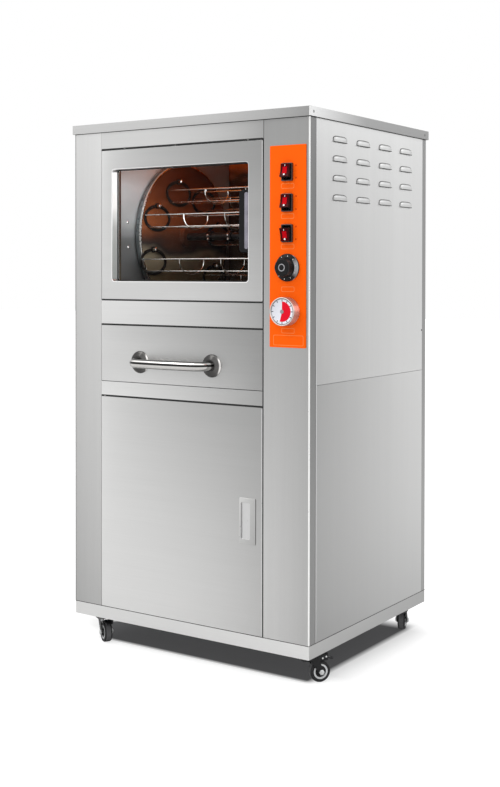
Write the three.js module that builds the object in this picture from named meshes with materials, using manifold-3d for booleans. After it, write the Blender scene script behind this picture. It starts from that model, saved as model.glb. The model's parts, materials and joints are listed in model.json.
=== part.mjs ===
// Sweet potato roaster: a free-standing stainless cabinet on casters, with a heated chamber behind
// a glazed door, a motor-driven rotor that carries hanging wire baskets, a drawer and a lower cupboard.
// Millimetres, +Z up, front towards -Y. The origin lies on the floor, under the middle of the bounding box.
import * as THREE from "three";
import { mergeVertices } from "three/addons/utils/BufferGeometryUtils.js";
import Module from "manifold-3d";

const wasm = await Module();
wasm.setup();

// Cabinet
const cabinetWidth = 700;
const cabinetDepth = 600;
const bodyHeight = 1250; // underside of the base to the top of the lid
const sheet = 1.2; // all folded panels
const fit = 0.3; // between pieces that rest on each other
const seam = 0.8; // between the edges of neighbouring fixed panels
const pierce = 2; // how far a cutter runs past what it cuts

// Base and lid
const baseHeight = 31;
const basePlate = 2;
const baseFlange = 85; // inward, where the casters are bolted
const lidHeight = 22;
const lidPlate = 1.5;
const lidOverhang = 5.4;

// Front, from the base upwards
const thinGap = 1.5;
const wideGap = 3.5;
const leftColumnWidth = 87.3;
const rightColumnWidth = 124.5;
const topRailHeight = 63.2;
const lowerRailHeight = 35;
const drawerHeight = 139.7;
const middleRailHeight = 60.8;
const ovenDoorHeight = 373;
const columnReturn = 30; // inner flange of the columns and rails
const frontWrap = 27.5; // how far the front columns reach round the sides
const rearWrap = 21;
const bendRadius = 2.5;
const bendSteps = 2;
const sideSplitRise = 16; // above the drawer's lower edge

// Door pivots
const pivotInset = 8; // from the door's left edge
const pivotDepth = 4.2; // behind the door's face
const pivotRadius = 2;
const pivotSides = 8;

// Oven door
const ovenDoorDepth = 26;
const windowLeft = 33.8;
const windowRight = 40;
const windowTop = 48.3;
const windowBottom = 45;
const windowCorner = 8;
const cornerSteps = 2;
const jambDepth = 21.7;
const glassThickness = 4;
const glassMargin = 8;
const gripWidth = 26.7; // of the pull in the window's right edge
const gripHeight = 146;
const gripAboveWindow = 69; // from the window's lower edge to the pull's
const gripLip = 5;
const gripWall = 4;
const gripSetback = 1;
const gripCorner = 10;

// Lower door
const lowerDoorDepth = 20;
const pullWidth = 45.5;
const pullHeight = 108;
const pullFlange = 1.5;
const pullFromRight = 18; // from the door's right edge
const pullAboveDoor = 210; // from the door's lower edge
const pullCorner = 3;
const cupDepth = 14;
const cupWall = 1.2;
const cupInset = 5;
const mouthWidth = 25;
const mouthHeight = 85;

// Drawer
const drawerFrontDepth = 15;
const drawerBoxInset = 16.1; // from each edge of the drawer's front
const drawerBackRoom = 84.7; // from the box to the cabinet's rear face
const drawerBoxHeight = 118;
const runnerLip = 10;
const runnerHeight = 20;
const handleSpacing = 217.6;
const handleFromLeft = 124.5; // from the drawer's left edge to the first rosette
const handleHeight = 51; // above the drawer's lower edge
const handleRadius = 11.2;
const handleReach = 43; // from the drawer's face to the bar's centre line
const handleBend = 30;
const handleBow = 4;
const handleSides = 8;
const handleSteps = 18;
const rosetteRadius = 27.5;
const rosetteNeck = 15;
const rosetteHeight = 10;
const rosetteSides = 14;

// Side louvres
const louvreLength = 64;
const louvreHeight = 18;
const louvreDepth = 5;
const louvreColumns = 4;
const louvreRows = 4;
const louvrePitchZ = 45.4;
const louvreFirstY = 105; // from the cabinet's front to the near end of the first column
const louvreLastY = 89; // from the far end of the last column to the cabinet's rear
const louvreFirstZ = 75; // from the lid's top down to the mouth of the first row
const louvreAround = 8;
const louvreRings = 3;

// Heated chamber
const chamberMarginLeft = 32.7; // from the left column's edge to the chamber's inner wall
const chamberMarginRight = 32.5;
const chamberBackRoom = 75.5; // from the chamber's back to the cabinet's rear face
const mouthInset = 1.5; // from the oven door's edges to the chamber's mouth
const mouthRise = 75; // from the chamber's floor to the lower edge of its mouth
const mouthDrop = 22;
const insulationBack = 30;
const insulationTop = 23;
const linerDrop = 14.2; // from the middle rail down to the lower cabinet's liner

// Rotor
const rotorBack = 7; // behind the middle of the chamber
const rotorRise = 3.1; // above the middle of the chamber
const rotorClearance = 41.5; // from the discs to the nearest of the chamber's walls, floor and roof
const shaftRadius = 10;
const shaftSides = 12;
const bearingGap = 0.3;
const discPlate = 3;
const rimRadius = 4;
const discSides = 26;
const discFromWall = 18; // from the chamber's wall to the disc
const hubRadius = 28;
const hubLength = 14;
const studInset = 42; // from the disc's edge to the studs
const studRadius = 4;
const studLength = 12;
const studSides = 6;
const basketCount = 8;
const basketPhase = 104; // degrees, place of the first stud
const collarRadius = 15;
const collarLength = 12;
const collarInsets = [85, 150]; // from the left disc
const shaftLeft = 19; // reach past the chamber's left wall
const shaftRight = 52; // reach past the chamber's right wall

// Baskets
const basketGap = 10.8; // between neighbouring baskets
const basketDropShare = 1.23; // from the pivot to the lowest wire, at most this part of half the width
const basketFloorGap = 1; // between the lowest basket and the lower heater
const rimDropShare = 0.5;
const hoopWire = 2;
const rimWire = 1.6;
const hoopSides = 4;
const wireSides = 3;
const hoopSteps = 10;
const crossSteps = 5;
const crossCount = 2;
const floorShares = [-0.2, 0.2]; // places of the floor wires, as parts of the arc below the rim
const eyeRadius = 7.5;
const eyeWidth = 5;
const eyeSides = 6;
const studClearance = 0.4;
const eyeGap = 1; // between the disc and an eye

// Heaters
const heaterRadius = 4;
const heaterSides = 6;
const heaterSteps = 14;
const upperHeaterDrop = 14; // below the chamber's roof
const lowerHeaterRise = 8; // above the chamber's floor
const upperHeaterSpan = 120;
const lowerHeaterSpan = 200;
const heaterFromLeft = 24;
const heaterTail = 14;

// Drive
const bearingRadius = 24;
const bearingFlange = 4;
const bearingLength = 15;
const gearboxWidth = 76;
const gearboxHeight = 92;
const gearboxLength = 34;
const motorRadius = 31;
const motorLength = 46;
const motorSides = 14;

// Control panel
const plateWidth = 97;
const plateRight = 8.5; // from the cabinet's right face
const plateTop = 84.5; // below the lid's top
const plateHeight = 460.5;
const plateCorner = 2;
const switchWidth = 29;
const switchHeight = 41;
const switchCount = 3;
const switchPitch = 69.5;
const firstSwitch = 61.5; // below the plate's upper edge
const bezelDepth = 3;
const bezelWall = 2.6;
const switchBodyDepth = 22;
const switchBodyWall = 1.4;
const rockerGap = 0.3;
const rockerTilt = 12; // degrees either way
const rockerRise = 6;
const rockerDip = 3;
const rockerEndGap = 0.5;
const rockerSunk = 5;
const switchTilts = [1, 1, -1];
const knobDrop = 278.5; // below the plate's upper edge
const timerDrop = 378;
const skirtRadius = 31.5;
const skirtDepth = 7;
const capRadius = 21;
const knobDepth = 26;
const dialRadius = 32.5;
const dialDepth = 25;
const dialBezel = 2.5;
const dialRecess = 1.5;
const knobSides = 24;
const knobGap = 0.5;
const spindleRadius = 3;
const spindleReach = 12;
const spindleSides = 8;
const controlBodySize = 46;
const controlBodyDepth = 30;
const controlGap = 0.3;

// Cable gland
const glandFromRight = 80;
const glandHeight = 86; // above the underside of the base
const glandRadius = 14;
const glandThread = 8;
const glandBore = 4.5;
const glandReach = 14;
const glandSides = 10;
const glandInside = 8;

// Casters
const casterInsetX = 41;
const casterInsetY = 60;
const casterPlate = 62;
const casterPlateThickness = 2.5;
const wheelRadius = 25;
const wheelWidth = 20;
const wheelSides = 16; // a multiple of four, for a flat on the floor
const webShare = 0.62; // inner edge of the tyre, as a part of the wheel's radius
const trail = 31;
const forkPlate = 2.5;
const forkRadius = 21;
const forkBelowBase = 6;
const forkAboveWheel = 18;
const cheekGap = 1.5;
const cheekWidth = 22;
const axleRadius = 4;
const axleHead = 6.5;
const axleHeadLength = 4;
const axleClearance = 0.3;
const kingpinRadius = 5;
const kingpinHead = 9;
const kingpinHeadLength = 2.4;
const roundSides = 8;
const nutSides = 6;
const pedalLength = 20;
const pedalWidth = 17;
const pedalThickness = 3;
const pedalPin = 2.2;
const pedalPinBack = 12; // behind the wheel's centre
const pedalPinAboveWheel = 5.5;
const casterTurns = [53.6, -33, 118, 109.5]; // degrees: front right, front left, rear left, rear right
const casterNames = ["front_right", "front_left", "rear_left", "rear_right"];
const mergeTolerance = 0.001;

// Derived places
const left = -cabinetWidth / 2;
const right = cabinetWidth / 2;
const front = -cabinetDepth / 2;
const rear = cabinetDepth / 2;
const forkTop = 2 * wheelRadius + forkAboveWheel;
const pedalPinHeight = 2 * wheelRadius + pedalPinAboveWheel;
const casterHeight = forkTop + forkBelowBase;
const baseTop = casterHeight + baseHeight;
const lidTop = casterHeight + bodyHeight;
const lidBottom = lidTop - lidHeight;
const panelTop = lidTop - lidPlate - fit;
const panelBottom = baseTop + seam;
const bayLeft = left + leftColumnWidth;
const bayRight = right - rightColumnWidth;
const doorLeft = bayLeft + thinGap;
const doorRight = bayRight - thinGap;
const topRailBottom = panelTop - topRailHeight;
const ovenDoorTop = topRailBottom - wideGap;
const ovenDoorBottom = ovenDoorTop - ovenDoorHeight;
const middleRailTop = ovenDoorBottom - thinGap;
const middleRailBottom = middleRailTop - middleRailHeight;
const drawerTop = middleRailBottom - wideGap;
const drawerBottom = drawerTop - drawerHeight;
const lowerRailTop = drawerBottom - thinGap;
const lowerRailBottom = lowerRailTop - lowerRailHeight;
const lowerDoorTop = lowerRailBottom - wideGap;
const lowerDoorBottom = baseTop + thinGap;
const linerTop = middleRailBottom - linerDrop;
const returnBack = front + columnReturn;
const pivotX = doorLeft + pivotInset;
const pivotY = front + pivotDepth;
const chamberX = [bayLeft + chamberMarginLeft, bayRight - chamberMarginRight];
const mouthZ = [ovenDoorBottom + mouthInset, ovenDoorTop - mouthInset];
const chamberZ = [mouthZ[0] - mouthRise, mouthZ[1] + mouthDrop];
const chamberFace = returnBack + fit;
const chamberY = [chamberFace + sheet, rear - chamberBackRoom];
const rotorY = (chamberY[0] + chamberY[1]) / 2 + rotorBack;
const rotorZ = (chamberZ[0] + chamberZ[1]) / 2 + rotorRise;
const discRadius = Math.min(chamberY[1] - chamberY[0], chamberZ[1] - chamberZ[0]) / 2 - rotorClearance;
const studCircle = discRadius - studInset;
const basketHalfWidth = studCircle * Math.sin(Math.PI / basketCount) - basketGap / 2;
const heaterTop = chamberZ[0] + lowerHeaterRise + heaterRadius;
const roomUnderPivot = rotorZ - studCircle - heaterTop - rimWire - basketFloorGap;
const basketDrop = Math.min(basketHalfWidth * basketDropShare, roomUnderPivot);
const rimDrop = basketHalfWidth * rimDropShare;
const discX = [chamberX[0] + discFromWall, chamberX[1] - discFromWall];
const shaftX = [chamberX[0] - shaftLeft, chamberX[1] + shaftRight];
const insulationX = [bayLeft - sheet + fit, bayRight + sheet - fit];
const plateX = [right - plateRight - plateWidth, right - plateRight];
const plateZ = [lidTop - plateTop - plateHeight, lidTop - plateTop];
const plateFace = front - fit - sheet;
const controlX = (plateX[0] + plateX[1]) / 2;

// Finishes
const finishes = {
  brushed: { color: 0xc4c4c1, roughness: 0.35, metalness: 1 },
  polished: { color: 0xd9d9d6, roughness: 0.12, metalness: 1 },
  zinc: { color: 0xa3a7a8, roughness: 0.5, metalness: 0.9 },
  glass: { color: 0xdfe6e4, roughness: 0.05, metalness: 0, transparent: true, opacity: 0.3 },
  black: { color: 0x151517, roughness: 0.4, metalness: 0 },
  orange: { color: 0xff600c, roughness: 0.45, metalness: 0 },
  red: { color: 0xd01010, roughness: 0.3, metalness: 0 },
  rubber: { color: 0x4c4d4e, roughness: 0.8, metalness: 0 },
  heater: { color: 0xb04a1c, roughness: 0.6, metalness: 0.4 },
  wool: { color: 0xd8d2b8, roughness: 0.95, metalness: 0 },
};

// A three.js geometry as a solid: shared corners merged, flat triangles dropped, faces turned outwards.
function solid(geometry) {
  const loose = geometry.index ? geometry.toNonIndexed() : geometry.clone();
  loose.deleteAttribute("normal");
  loose.deleteAttribute("uv");
  const merged = mergeVertices(loose, mergeTolerance);
  const corners = merged.index.array;
  const triangles = [];
  for (let i = 0; i < corners.length; i += 3) {
    const [a, b, c] = [corners[i], corners[i + 1], corners[i + 2]];
    if (a !== b && b !== c && c !== a) triangles.push([a, b, c]);
  }
  const build = (list) =>
    new wasm.Manifold(
      new wasm.Mesh({
        numProp: 3,
        vertProperties: merged.attributes.position.array,
        triVerts: new Uint32Array(list.flat()),
      }),
    );
  const made = build(triangles);
  return made.volume() > 0 ? made : build(triangles.map(([a, b, c]) => [a, c, b]));
}

const join = (...solids) => solids.flat().reduce((whole, next) => whole.add(next));
const cut = (whole, ...tools) => tools.flat().reduce((rest, tool) => rest.subtract(tool), whole);

// Turns a geometry's own axis (Z for an extrusion, Y for a revolved profile) along a world axis.
const X = new THREE.Vector3(1, 0, 0);
const Y = new THREE.Vector3(0, 1, 0);
const Z = new THREE.Vector3(0, 0, 1);
const extrudeBasis = {
  x: new THREE.Matrix4().makeBasis(Y, Z, X),
  y: new THREE.Matrix4().makeBasis(X, Z, Y.clone().negate()),
  z: new THREE.Matrix4(),
};
const revolveBasis = {
  x: new THREE.Matrix4().makeBasis(Z, X, Y),
  y: new THREE.Matrix4().makeBasis(Z.clone().negate(), Y, X),
  front: new THREE.Matrix4().makeBasis(X, Y.clone().negate(), Z.clone().negate()),
  z: new THREE.Matrix4().makeBasis(X, Z, Y.clone().negate()),
};

// A block between [low, high] pairs.
function block(x, y, z) {
  const geometry = new THREE.BoxGeometry(x[1] - x[0], y[1] - y[0], z[1] - z[0]);
  geometry.translate((x[0] + x[1]) / 2, (y[0] + y[1]) / 2, (z[0] + z[1]) / 2);
  return solid(geometry);
}

// A flat outline made into a plate: along x it holds (y, z), along y (x, z), along z (x, y).
function slab(shape, axis, span, steps = bendSteps) {
  const geometry = new THREE.ExtrudeGeometry(shape, {
    depth: span[1] - span[0],
    bevelEnabled: false,
    curveSegments: steps,
  });
  geometry.applyMatrix4(extrudeBasis[axis]);
  const start = axis === "y" ? span[1] : span[0];
  geometry.translate(...["x", "y", "z"].map((name) => (name === axis ? start : 0)));
  return solid(geometry);
}

function rectangle(a, b, radius = 0) {
  const shape = new THREE.Shape();
  if (radius === 0) {
    shape.moveTo(a[0], b[0]);
    shape.lineTo(a[1], b[0]);
    shape.lineTo(a[1], b[1]);
    shape.lineTo(a[0], b[1]);
    return shape;
  }
  shape.absarc(a[1] - radius, b[0] + radius, radius, -Math.PI / 2, 0);
  shape.absarc(a[1] - radius, b[1] - radius, radius, 0, Math.PI / 2);
  shape.absarc(a[0] + radius, b[1] - radius, radius, Math.PI / 2, Math.PI);
  shape.absarc(a[0] + radius, b[0] + radius, radius, Math.PI, 1.5 * Math.PI);
  return shape;
}

function polygon(points) {
  return new THREE.Shape(points.map(([a, b]) => new THREE.Vector2(a, b)));
}

// A profile of [radius, height] points revolved about an axis through centre.
function revolve(profile, axis, centre, sides) {
  const points = profile.map(([r, h]) => new THREE.Vector2(r, h));
  const geometry = new THREE.LatheGeometry(points, sides);
  geometry.applyMatrix4(revolveBasis[axis]);
  geometry.translate(...centre);
  return solid(geometry);
}

// A round bar or hole between two heights along an axis.
function bar(radius, span, axis, centre, sides) {
  return revolve([[0, span[0]], [radius, span[0]], [radius, span[1]], [0, span[1]]], axis, centre, sides);
}

// The corner radius of a many-sided bore whose flats clear a round pin of this radius.
const opened = (radius, sides) => radius / Math.cos(Math.PI / sides);

function hole(radius, span, axis, centre, sides) {
  return bar(opened(radius, sides), span, axis, centre, sides);
}

// A collar or eye: a ring with a bore.
function ring(outer, bore, span, axis, centre, sides) {
  const inner = opened(bore, sides);
  const profile = [[inner, span[0]], [outer, span[0]], [outer, span[1]], [inner, span[1]], [inner, span[0]]];
  return revolve(profile, axis, centre, sides);
}

// A curve given by a function of 0..1 that returns [x, y, z].
class Path extends THREE.Curve {
  constructor(place) {
    super();
    this.place = place;
  }
  getPoint(t, target = new THREE.Vector3()) {
    return target.set(...this.place(t));
  }
}

// A bent wire or tube of round section along a path.
function tube(place, radius, sides, steps) {
  const turn = (2 * Math.PI) / sides;
  const section = polygon(
    Array.from({ length: sides }, (_, i) => [radius * Math.cos(i * turn), radius * Math.sin(i * turn)]),
  );
  const geometry = new THREE.ExtrudeGeometry(section, {
    steps,
    bevelEnabled: false,
    extrudePath: new Path(place),
  });
  return solid(geometry);
}

function piece(parent, name, shape, finish) {
  const made = shape.getMesh();
  const geometry = new THREE.BufferGeometry();
  const count = made.vertProperties.length / made.numProp;
  const places = new Float32Array(count * 3);
  for (let i = 0; i < count; i++) {
    places.set(made.vertProperties.subarray(i * made.numProp, i * made.numProp + 3), i * 3);
  }
  geometry.setAttribute("position", new THREE.BufferAttribute(places, 3));
  geometry.setIndex(new THREE.BufferAttribute(new Uint32Array(made.triVerts), 1));
  geometry.computeVertexNormals();
  const mesh = new THREE.Mesh(geometry, new THREE.MeshStandardMaterial(finishes[finish]));
  mesh.name = name;
  parent.add(mesh);
  return mesh;
}

function group(parent, position = [0, 0, 0], turn = 0, axis = Z) {
  const made = new THREE.Group();
  made.position.set(...position);
  made.quaternion.setFromAxisAngle(axis, THREE.MathUtils.degToRad(turn));
  parent.add(made);
  return made;
}

const grow = (span, by) => [span[0] - by, span[1] + by];
const through = (span) => grow(span, pierce);

// A sheet tray: a plate at the front with walls that run back, open behind.
function tray(x, z, depth, cornerRadius = 0) {
  const outer = slab(rectangle(x, z, cornerRadius), "y", [front, front + depth]);
  const room = [front + sheet, front + depth + pierce];
  const inner = slab(rectangle(grow(x, -sheet), grow(z, -sheet)), "y", room);
  return cut(outer, inner);
}

// A door's pivot pins, from inside its flanges into the holes of the rails above and below.
function pivotPins(bottom, top) {
  const place = [pivotX, pivotY, 0];
  const reach = wideGap + sheet;
  const lower = bar(pivotRadius, [bottom - thinGap - sheet, bottom + sheet], "z", place, pivotSides);
  const upper = bar(pivotRadius, [top - sheet, top + reach], "z", place, pivotSides);
  return [lower, upper];
}

function pivotHole(z) {
  return hole(pivotRadius + fit, through(z), "z", [pivotX, pivotY, 0], pivotSides);
}

// Base: a box frame with an open middle below; it carries the caster plates and their kingpins.
function base() {
  const x = [left, right];
  const y = [front, rear];
  const z = [casterHeight, baseTop];
  const shell = slab(rectangle(x, y, bendRadius), "z", z);
  const hollow = block(grow(x, -basePlate), grow(y, -basePlate), grow(z, -basePlate));
  const openingZ = [casterHeight - pierce, baseTop - basePlate];
  const opening = block(grow(x, -baseFlange), grow(y, -baseFlange), openingZ);
  const plates = casterPlaces.map(([cx, cy]) => {
    const half = casterPlate / 2;
    const plateZ = [casterHeight - casterPlateThickness, casterHeight + basePlate];
    const plate = block([cx - half, cx + half], [cy - half, cy + half], plateZ);
    const pinFoot = forkTop - forkPlate - fit - kingpinHeadLength;
    const pin = bar(kingpinRadius, [pinFoot, casterHeight], "z", [cx, cy, 0], roundSides);
    const head = bar(kingpinHead, [pinFoot, pinFoot + kingpinHeadLength], "z", [cx, cy, 0], roundSides);
    return join(plate, pin, head);
  });
  return join(cut(shell, hollow, opening, pivotHole([baseTop - basePlate, baseTop])), plates);
}

function lid() {
  const x = grow([left, right], lidOverhang);
  const y = grow([front, rear], lidOverhang);
  const outer = slab(rectangle(x, y, bendRadius), "z", [lidBottom, lidTop]);
  return cut(outer, block(grow(x, -sheet), grow(y, -sheet), [lidBottom - pierce, lidTop - lidPlate]));
}

// A front column: face, a wrap round the cabinet's side and a return into the bay.
function column(outerX, innerX) {
  const z = [panelBottom, panelTop];
  const x = [Math.min(outerX, innerX), Math.max(outerX, innerX)];
  const body = slab(rectangle(x, [front, returnBack + bendRadius], bendRadius), "z", z);
  const hollow = block(grow(x, -sheet), [front + sheet, returnBack + columnReturn], through(z));
  const tail = block(through(x), [returnBack, returnBack + columnReturn], through(z));
  const wrapTrim = block(
    [outerX - sheet - pierce, outerX + sheet + pierce],
    [front + frontWrap, returnBack + pierce],
    through(z),
  );
  return cut(body, hollow, tail, wrapTrim);
}

function controlCutouts(y) {
  const holes = switchPlaces.map((z) => {
    const half = [switchWidth / 2 - bezelWall + fit, switchHeight / 2 - bezelWall + fit];
    return block([controlX - half[0], controlX + half[0]], y, [z - half[1], z + half[1]]);
  });
  const spindles = [knobZ, timerZ].map((z) =>
    hole(spindleRadius + fit, y, "y", [controlX, 0, z], spindleSides),
  );
  return [...holes, ...spindles];
}

// A rail across the bay: a channel open to the back.
function rail(z, backOf = [returnBack, returnBack]) {
  const x = [bayLeft + seam, bayRight - seam];
  const face = block(x, [front, front + sheet], z);
  const lower = block(x, [front, backOf[0]], [z[0], z[0] + sheet]);
  const upper = block(x, [front, backOf[1]], [z[1] - sheet, z[1]]);
  return join(face, lower, upper);
}

// The drawer's shelf: the lower rail with its upper flange carried back as a floor with two runners.
function drawerShelf() {
  const back = rear - 2 * sheet - fit;
  const wide = rail([lowerRailBottom, lowerRailTop]);
  const x = [bayLeft + sheet + fit, bayRight - sheet - fit];
  const floor = block(x, [front, back], [lowerRailTop - sheet, lowerRailTop]);
  const boxX = drawerBoxX();
  const y = [returnBack, rear - drawerBackRoom];
  const runners = [-1, 1].map((side) => {
    const edge = side < 0 ? boxX[0] - fit : boxX[1] + fit;
    const web = [edge, edge + side * sheet].sort((a, b) => a - b);
    const lip = [edge - side * runnerLip, edge + side * sheet].sort((a, b) => a - b);
    const foot = lowerRailTop - sheet;
    const top = lowerRailTop + sheet;
    return join(block(lip, y, [foot, top]), block(web, y, [foot, top + runnerHeight]));
  });
  return cut(join(wide, floor, runners), pivotHole([lowerRailBottom, lowerRailBottom + sheet]));
}

function drawerBoxX() {
  return [doorLeft + drawerBoxInset, doorRight - drawerBoxInset];
}

// A pressed hood with its mouth downwards, and the opening behind it.
function louvre(y, z) {
  const shape = (inset) => {
    const dome = new THREE.SphereGeometry(1, louvreAround, louvreRings);
    dome.applyMatrix4(revolveBasis.z);
    dome.scale(louvreDepth - inset, louvreLength / 2 - inset, louvreHeight - inset);
    dome.translate(right, y, z);
    return solid(dome);
  };
  const wide = grow([y, y], louvreLength);
  const tall = [z, z + louvreHeight];
  const upper = block([right - sheet, right + louvreDepth + pierce], wide, tall);
  const vent = block([right - 2 * sheet, right + louvreDepth], wide, tall);
  return { hood: shape(0).intersect(upper), mouth: shape(sheet).intersect(vent) };
}

function sidePanel(side, z) {
  const outer = side * right;
  const x = [Math.min(outer, outer - side * sheet), Math.max(outer, outer - side * sheet)];
  return block(x, [front + frontWrap + seam, rear - rearWrap - seam], z);
}

function louvredPanel(z) {
  const room = cabinetDepth - louvreFirstY - louvreLastY - louvreLength;
  const pitch = room / (louvreColumns - 1);
  const hoods = [];
  const mouths = [];
  for (let row = 0; row < louvreRows; row++) {
    for (let place = 0; place < louvreColumns; place++) {
      const y = front + louvreFirstY + louvreLength / 2 + place * pitch;
      const { hood, mouth } = louvre(y, lidTop - louvreFirstZ - row * louvrePitchZ);
      hoods.push(hood);
      mouths.push(mouth);
    }
  }
  return cut(join(sidePanel(1, z), hoods), mouths);
}

function rearPanel() {
  const z = [panelBottom, panelTop];
  const x = [left, right];
  const body = slab(rectangle(x, [rear - rearWrap - bendRadius, rear], bendRadius), "z", z);
  const hollow = block(grow(x, -sheet), [rear - rearWrap - columnReturn, rear - sheet], through(z));
  const trim = block(through(x), [rear - rearWrap - columnReturn, rear - rearWrap], through(z));
  const wall = through([rear - sheet, rear]);
  const opening = hole(glandThread + fit, wall, "y", [glandX, 0, glandZ], glandSides);
  return cut(body, hollow, trim, opening);
}

// The folded liner of the drawer bay and cupboard: left wall, back and right wall.
function cabinetLiner() {
  const z = [panelBottom, linerTop];
  const x = [bayLeft - sheet, bayRight + sheet];
  const y = [returnBack + fit, rear - sheet - fit];
  const outer = block(x, y, z);
  return cut(outer, block([bayLeft, bayRight], [y[0] - pierce, y[1] - sheet], through(z)));
}

function chamberLiner() {
  const outer = block(grow(chamberX, sheet), [chamberFace, chamberY[1] + sheet], grow(chamberZ, sheet));
  const faceX = [bayLeft + seam, bayRight - seam];
  const faceZ = [middleRailBottom + sheet, panelTop - seam];
  const face = block(faceX, [chamberFace, chamberFace + sheet], faceZ);
  const cavity = block(chamberX, chamberY, chamberZ);
  const mouthY = through([chamberFace, chamberY[0]]);
  const mouth = slab(rectangle(chamberX, mouthZ, windowCorner), "y", mouthY, cornerSteps);
  const bore = through(grow(chamberX, sheet));
  const shaftHole = hole(shaftRadius + pierce, bore, "x", [0, rotorY, rotorZ], shaftSides);
  return cut(join(outer, face), cavity, mouth, shaftHole, heaterHoles(sheet + fit));
}

// Mineral wool round the chamber's sides, back and roof, in one jacket that is open in front and below.
function insulationJacket() {
  const z = [linerTop + fit, chamberZ[1] + sheet + fit + insulationTop];
  const y = [chamberFace + sheet + fit, chamberY[1] + sheet + fit + insulationBack];
  const outer = block(insulationX, y, z);
  const room = block(grow(chamberX, sheet + fit), [y[0] - pierce, chamberY[1] + sheet + fit], [
    z[0] - pierce,
    chamberZ[1] + sheet + fit,
  ]);
  const right = [chamberX[1], insulationX[1]];
  const left = [insulationX[0], chamberX[0]];
  const driveHole = hole(shaftRadius + pierce, through(right), "x", [0, rotorY, rotorZ], shaftSides);
  const bearingHole = hole(bearingRadius + fit, through(left), "x", [0, rotorY, rotorZ], motorSides);
  return cut(outer, room, driveHole, bearingHole, heaterHoles(insulationX[1] - chamberX[1]));
}

// A hairpin heating element: in through the right wall, along the chamber, round and back.
function heaterPath(z, span) {
  const turn = span / 2;
  const bendX = chamberX[0] + heaterFromLeft + turn;
  const end = chamberX[1] + heaterTail;
  const run = end - bendX;
  const total = 2 * run + Math.PI * turn;
  return (t) => {
    const s = t * total;
    if (s <= run) return [end - s, rotorY - turn, z];
    if (s >= total - run) return [end - (total - s), rotorY + turn, z];
    const angle = (s - run) / turn;
    return [bendX - turn * Math.sin(angle), rotorY - turn * Math.cos(angle), z];
  };
}

const heaterPlaces = [
  { name: "heater_upper", z: chamberZ[1] - upperHeaterDrop, span: upperHeaterSpan },
  { name: "heater_lower", z: chamberZ[0] + lowerHeaterRise, span: lowerHeaterSpan },
];

function heaterHoles(reach) {
  return heaterPlaces.flatMap(({ z, span }) =>
    [-1, 1].map((side) =>
      hole(heaterRadius + fit, through([chamberX[1], chamberX[1] + reach]), "x", [
        0,
        rotorY + (side * span) / 2,
        z,
      ], heaterSides),
    ),
  );
}

function shaftBearing() {
  const foot = chamberX[0] - sheet - fit;
  const bore = opened(shaftRadius + bearingGap, motorSides);
  const profile = [
    [bore, foot],
    [bearingRadius, foot],
    [bearingRadius, foot - bearingFlange],
    [bearingRadius - bearingFlange, foot - bearingFlange],
    [bearingRadius - bearingFlange, foot - bearingLength],
    [bore, foot - bearingLength],
    [bore, foot],
  ];
  return revolve(profile, "x", [0, rotorY, rotorZ], motorSides);
}

// The gear motor: a gearbox against the insulation that takes the shaft's end, and a motor behind it.
function gearMotor() {
  const x0 = insulationX[1] + fit;
  const x1 = x0 + gearboxLength;
  const half = gearboxWidth / 2;
  const z = [rotorZ - gearboxHeight + half, rotorZ + half];
  const outline = rectangle([rotorY - half, rotorY + half], z, windowCorner);
  const gearbox = slab(outline, "x", [x0, x1], cornerSteps);
  const motorPlace = [0, rotorY, z[0] + motorRadius];
  const motor = bar(motorRadius, [x1 - sheet, x1 + motorLength], "x", motorPlace, motorSides);
  const boreX = [x0 - pierce, shaftX[1] + fit];
  const bore = hole(shaftRadius + bearingGap, boreX, "x", [0, rotorY, rotorZ], shaftSides);
  return cut(join(gearbox, motor), bore);
}

const switchPlaces = Array.from({ length: switchCount }, (_, i) => plateZ[1] - firstSwitch - i * switchPitch);
const knobZ = plateZ[1] - knobDrop;
const timerZ = plateZ[1] - timerDrop;
const glandX = right - glandFromRight;
const glandZ = casterHeight + glandHeight;
const casterX = right - casterInsetX;
const casterY = rear - casterInsetY;
const casterPlaces = [
  [casterX, -casterY],
  [-casterX, -casterY],
  [-casterX, casterY],
  [casterX, casterY],
];

function controlPlate() {
  const y = [plateFace, plateFace + sheet];
  return cut(slab(rectangle(plateX, plateZ, plateCorner), "y", y), controlCutouts(through(y)));
}

// A rocker's housing: a bezel on the plate and a hollow body behind it, open in front.
function switchHousing(z) {
  const half = [switchWidth / 2, switchHeight / 2];
  const face = plateFace - fit;
  const bezel = slab(
    rectangle([controlX - half[0], controlX + half[0]], [z - half[1], z + half[1]], bendRadius),
    "y",
    [face - bezelDepth, face],
  );
  const bodyX = [controlX - half[0] + bezelWall, controlX + half[0] - bezelWall];
  const bodyZ = [z - half[1] + bezelWall, z + half[1] - bezelWall];
  const body = block(bodyX, [face - sheet, face + switchBodyDepth], bodyZ);
  const pocketY = [face - bezelDepth - pierce, face + switchBodyDepth - switchBodyWall];
  const pocket = block(grow(bodyX, -switchBodyWall), pocketY, grow(bodyZ, -switchBodyWall));
  return cut(join(bezel, body), pocket);
}

// A rocker about its own pivot: two shallow wings that meet in a dip, with a keel between them.
function rocker() {
  const halfWidth = switchWidth / 2 - bezelWall - switchBodyWall - rockerGap;
  const reach = switchHeight / 2 - bezelWall - switchBodyWall - rockerEndGap;
  const rise = rockerSunk + rockerRise;
  const tilt = THREE.MathUtils.degToRad(rockerTilt);
  const halfLength = (reach - rise * Math.sin(tilt)) / Math.cos(tilt);
  const keel = halfLength / 2;
  const outline = [
    [rockerSunk, -keel],
    [rockerSunk, keel],
    [0, halfLength],
    [-rise, halfLength],
    [-rise + rockerDip, 0],
    [-rise, -halfLength],
    [0, -halfLength],
  ];
  return slab(polygon(outline), "x", [-halfWidth, halfWidth]);
}

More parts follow.
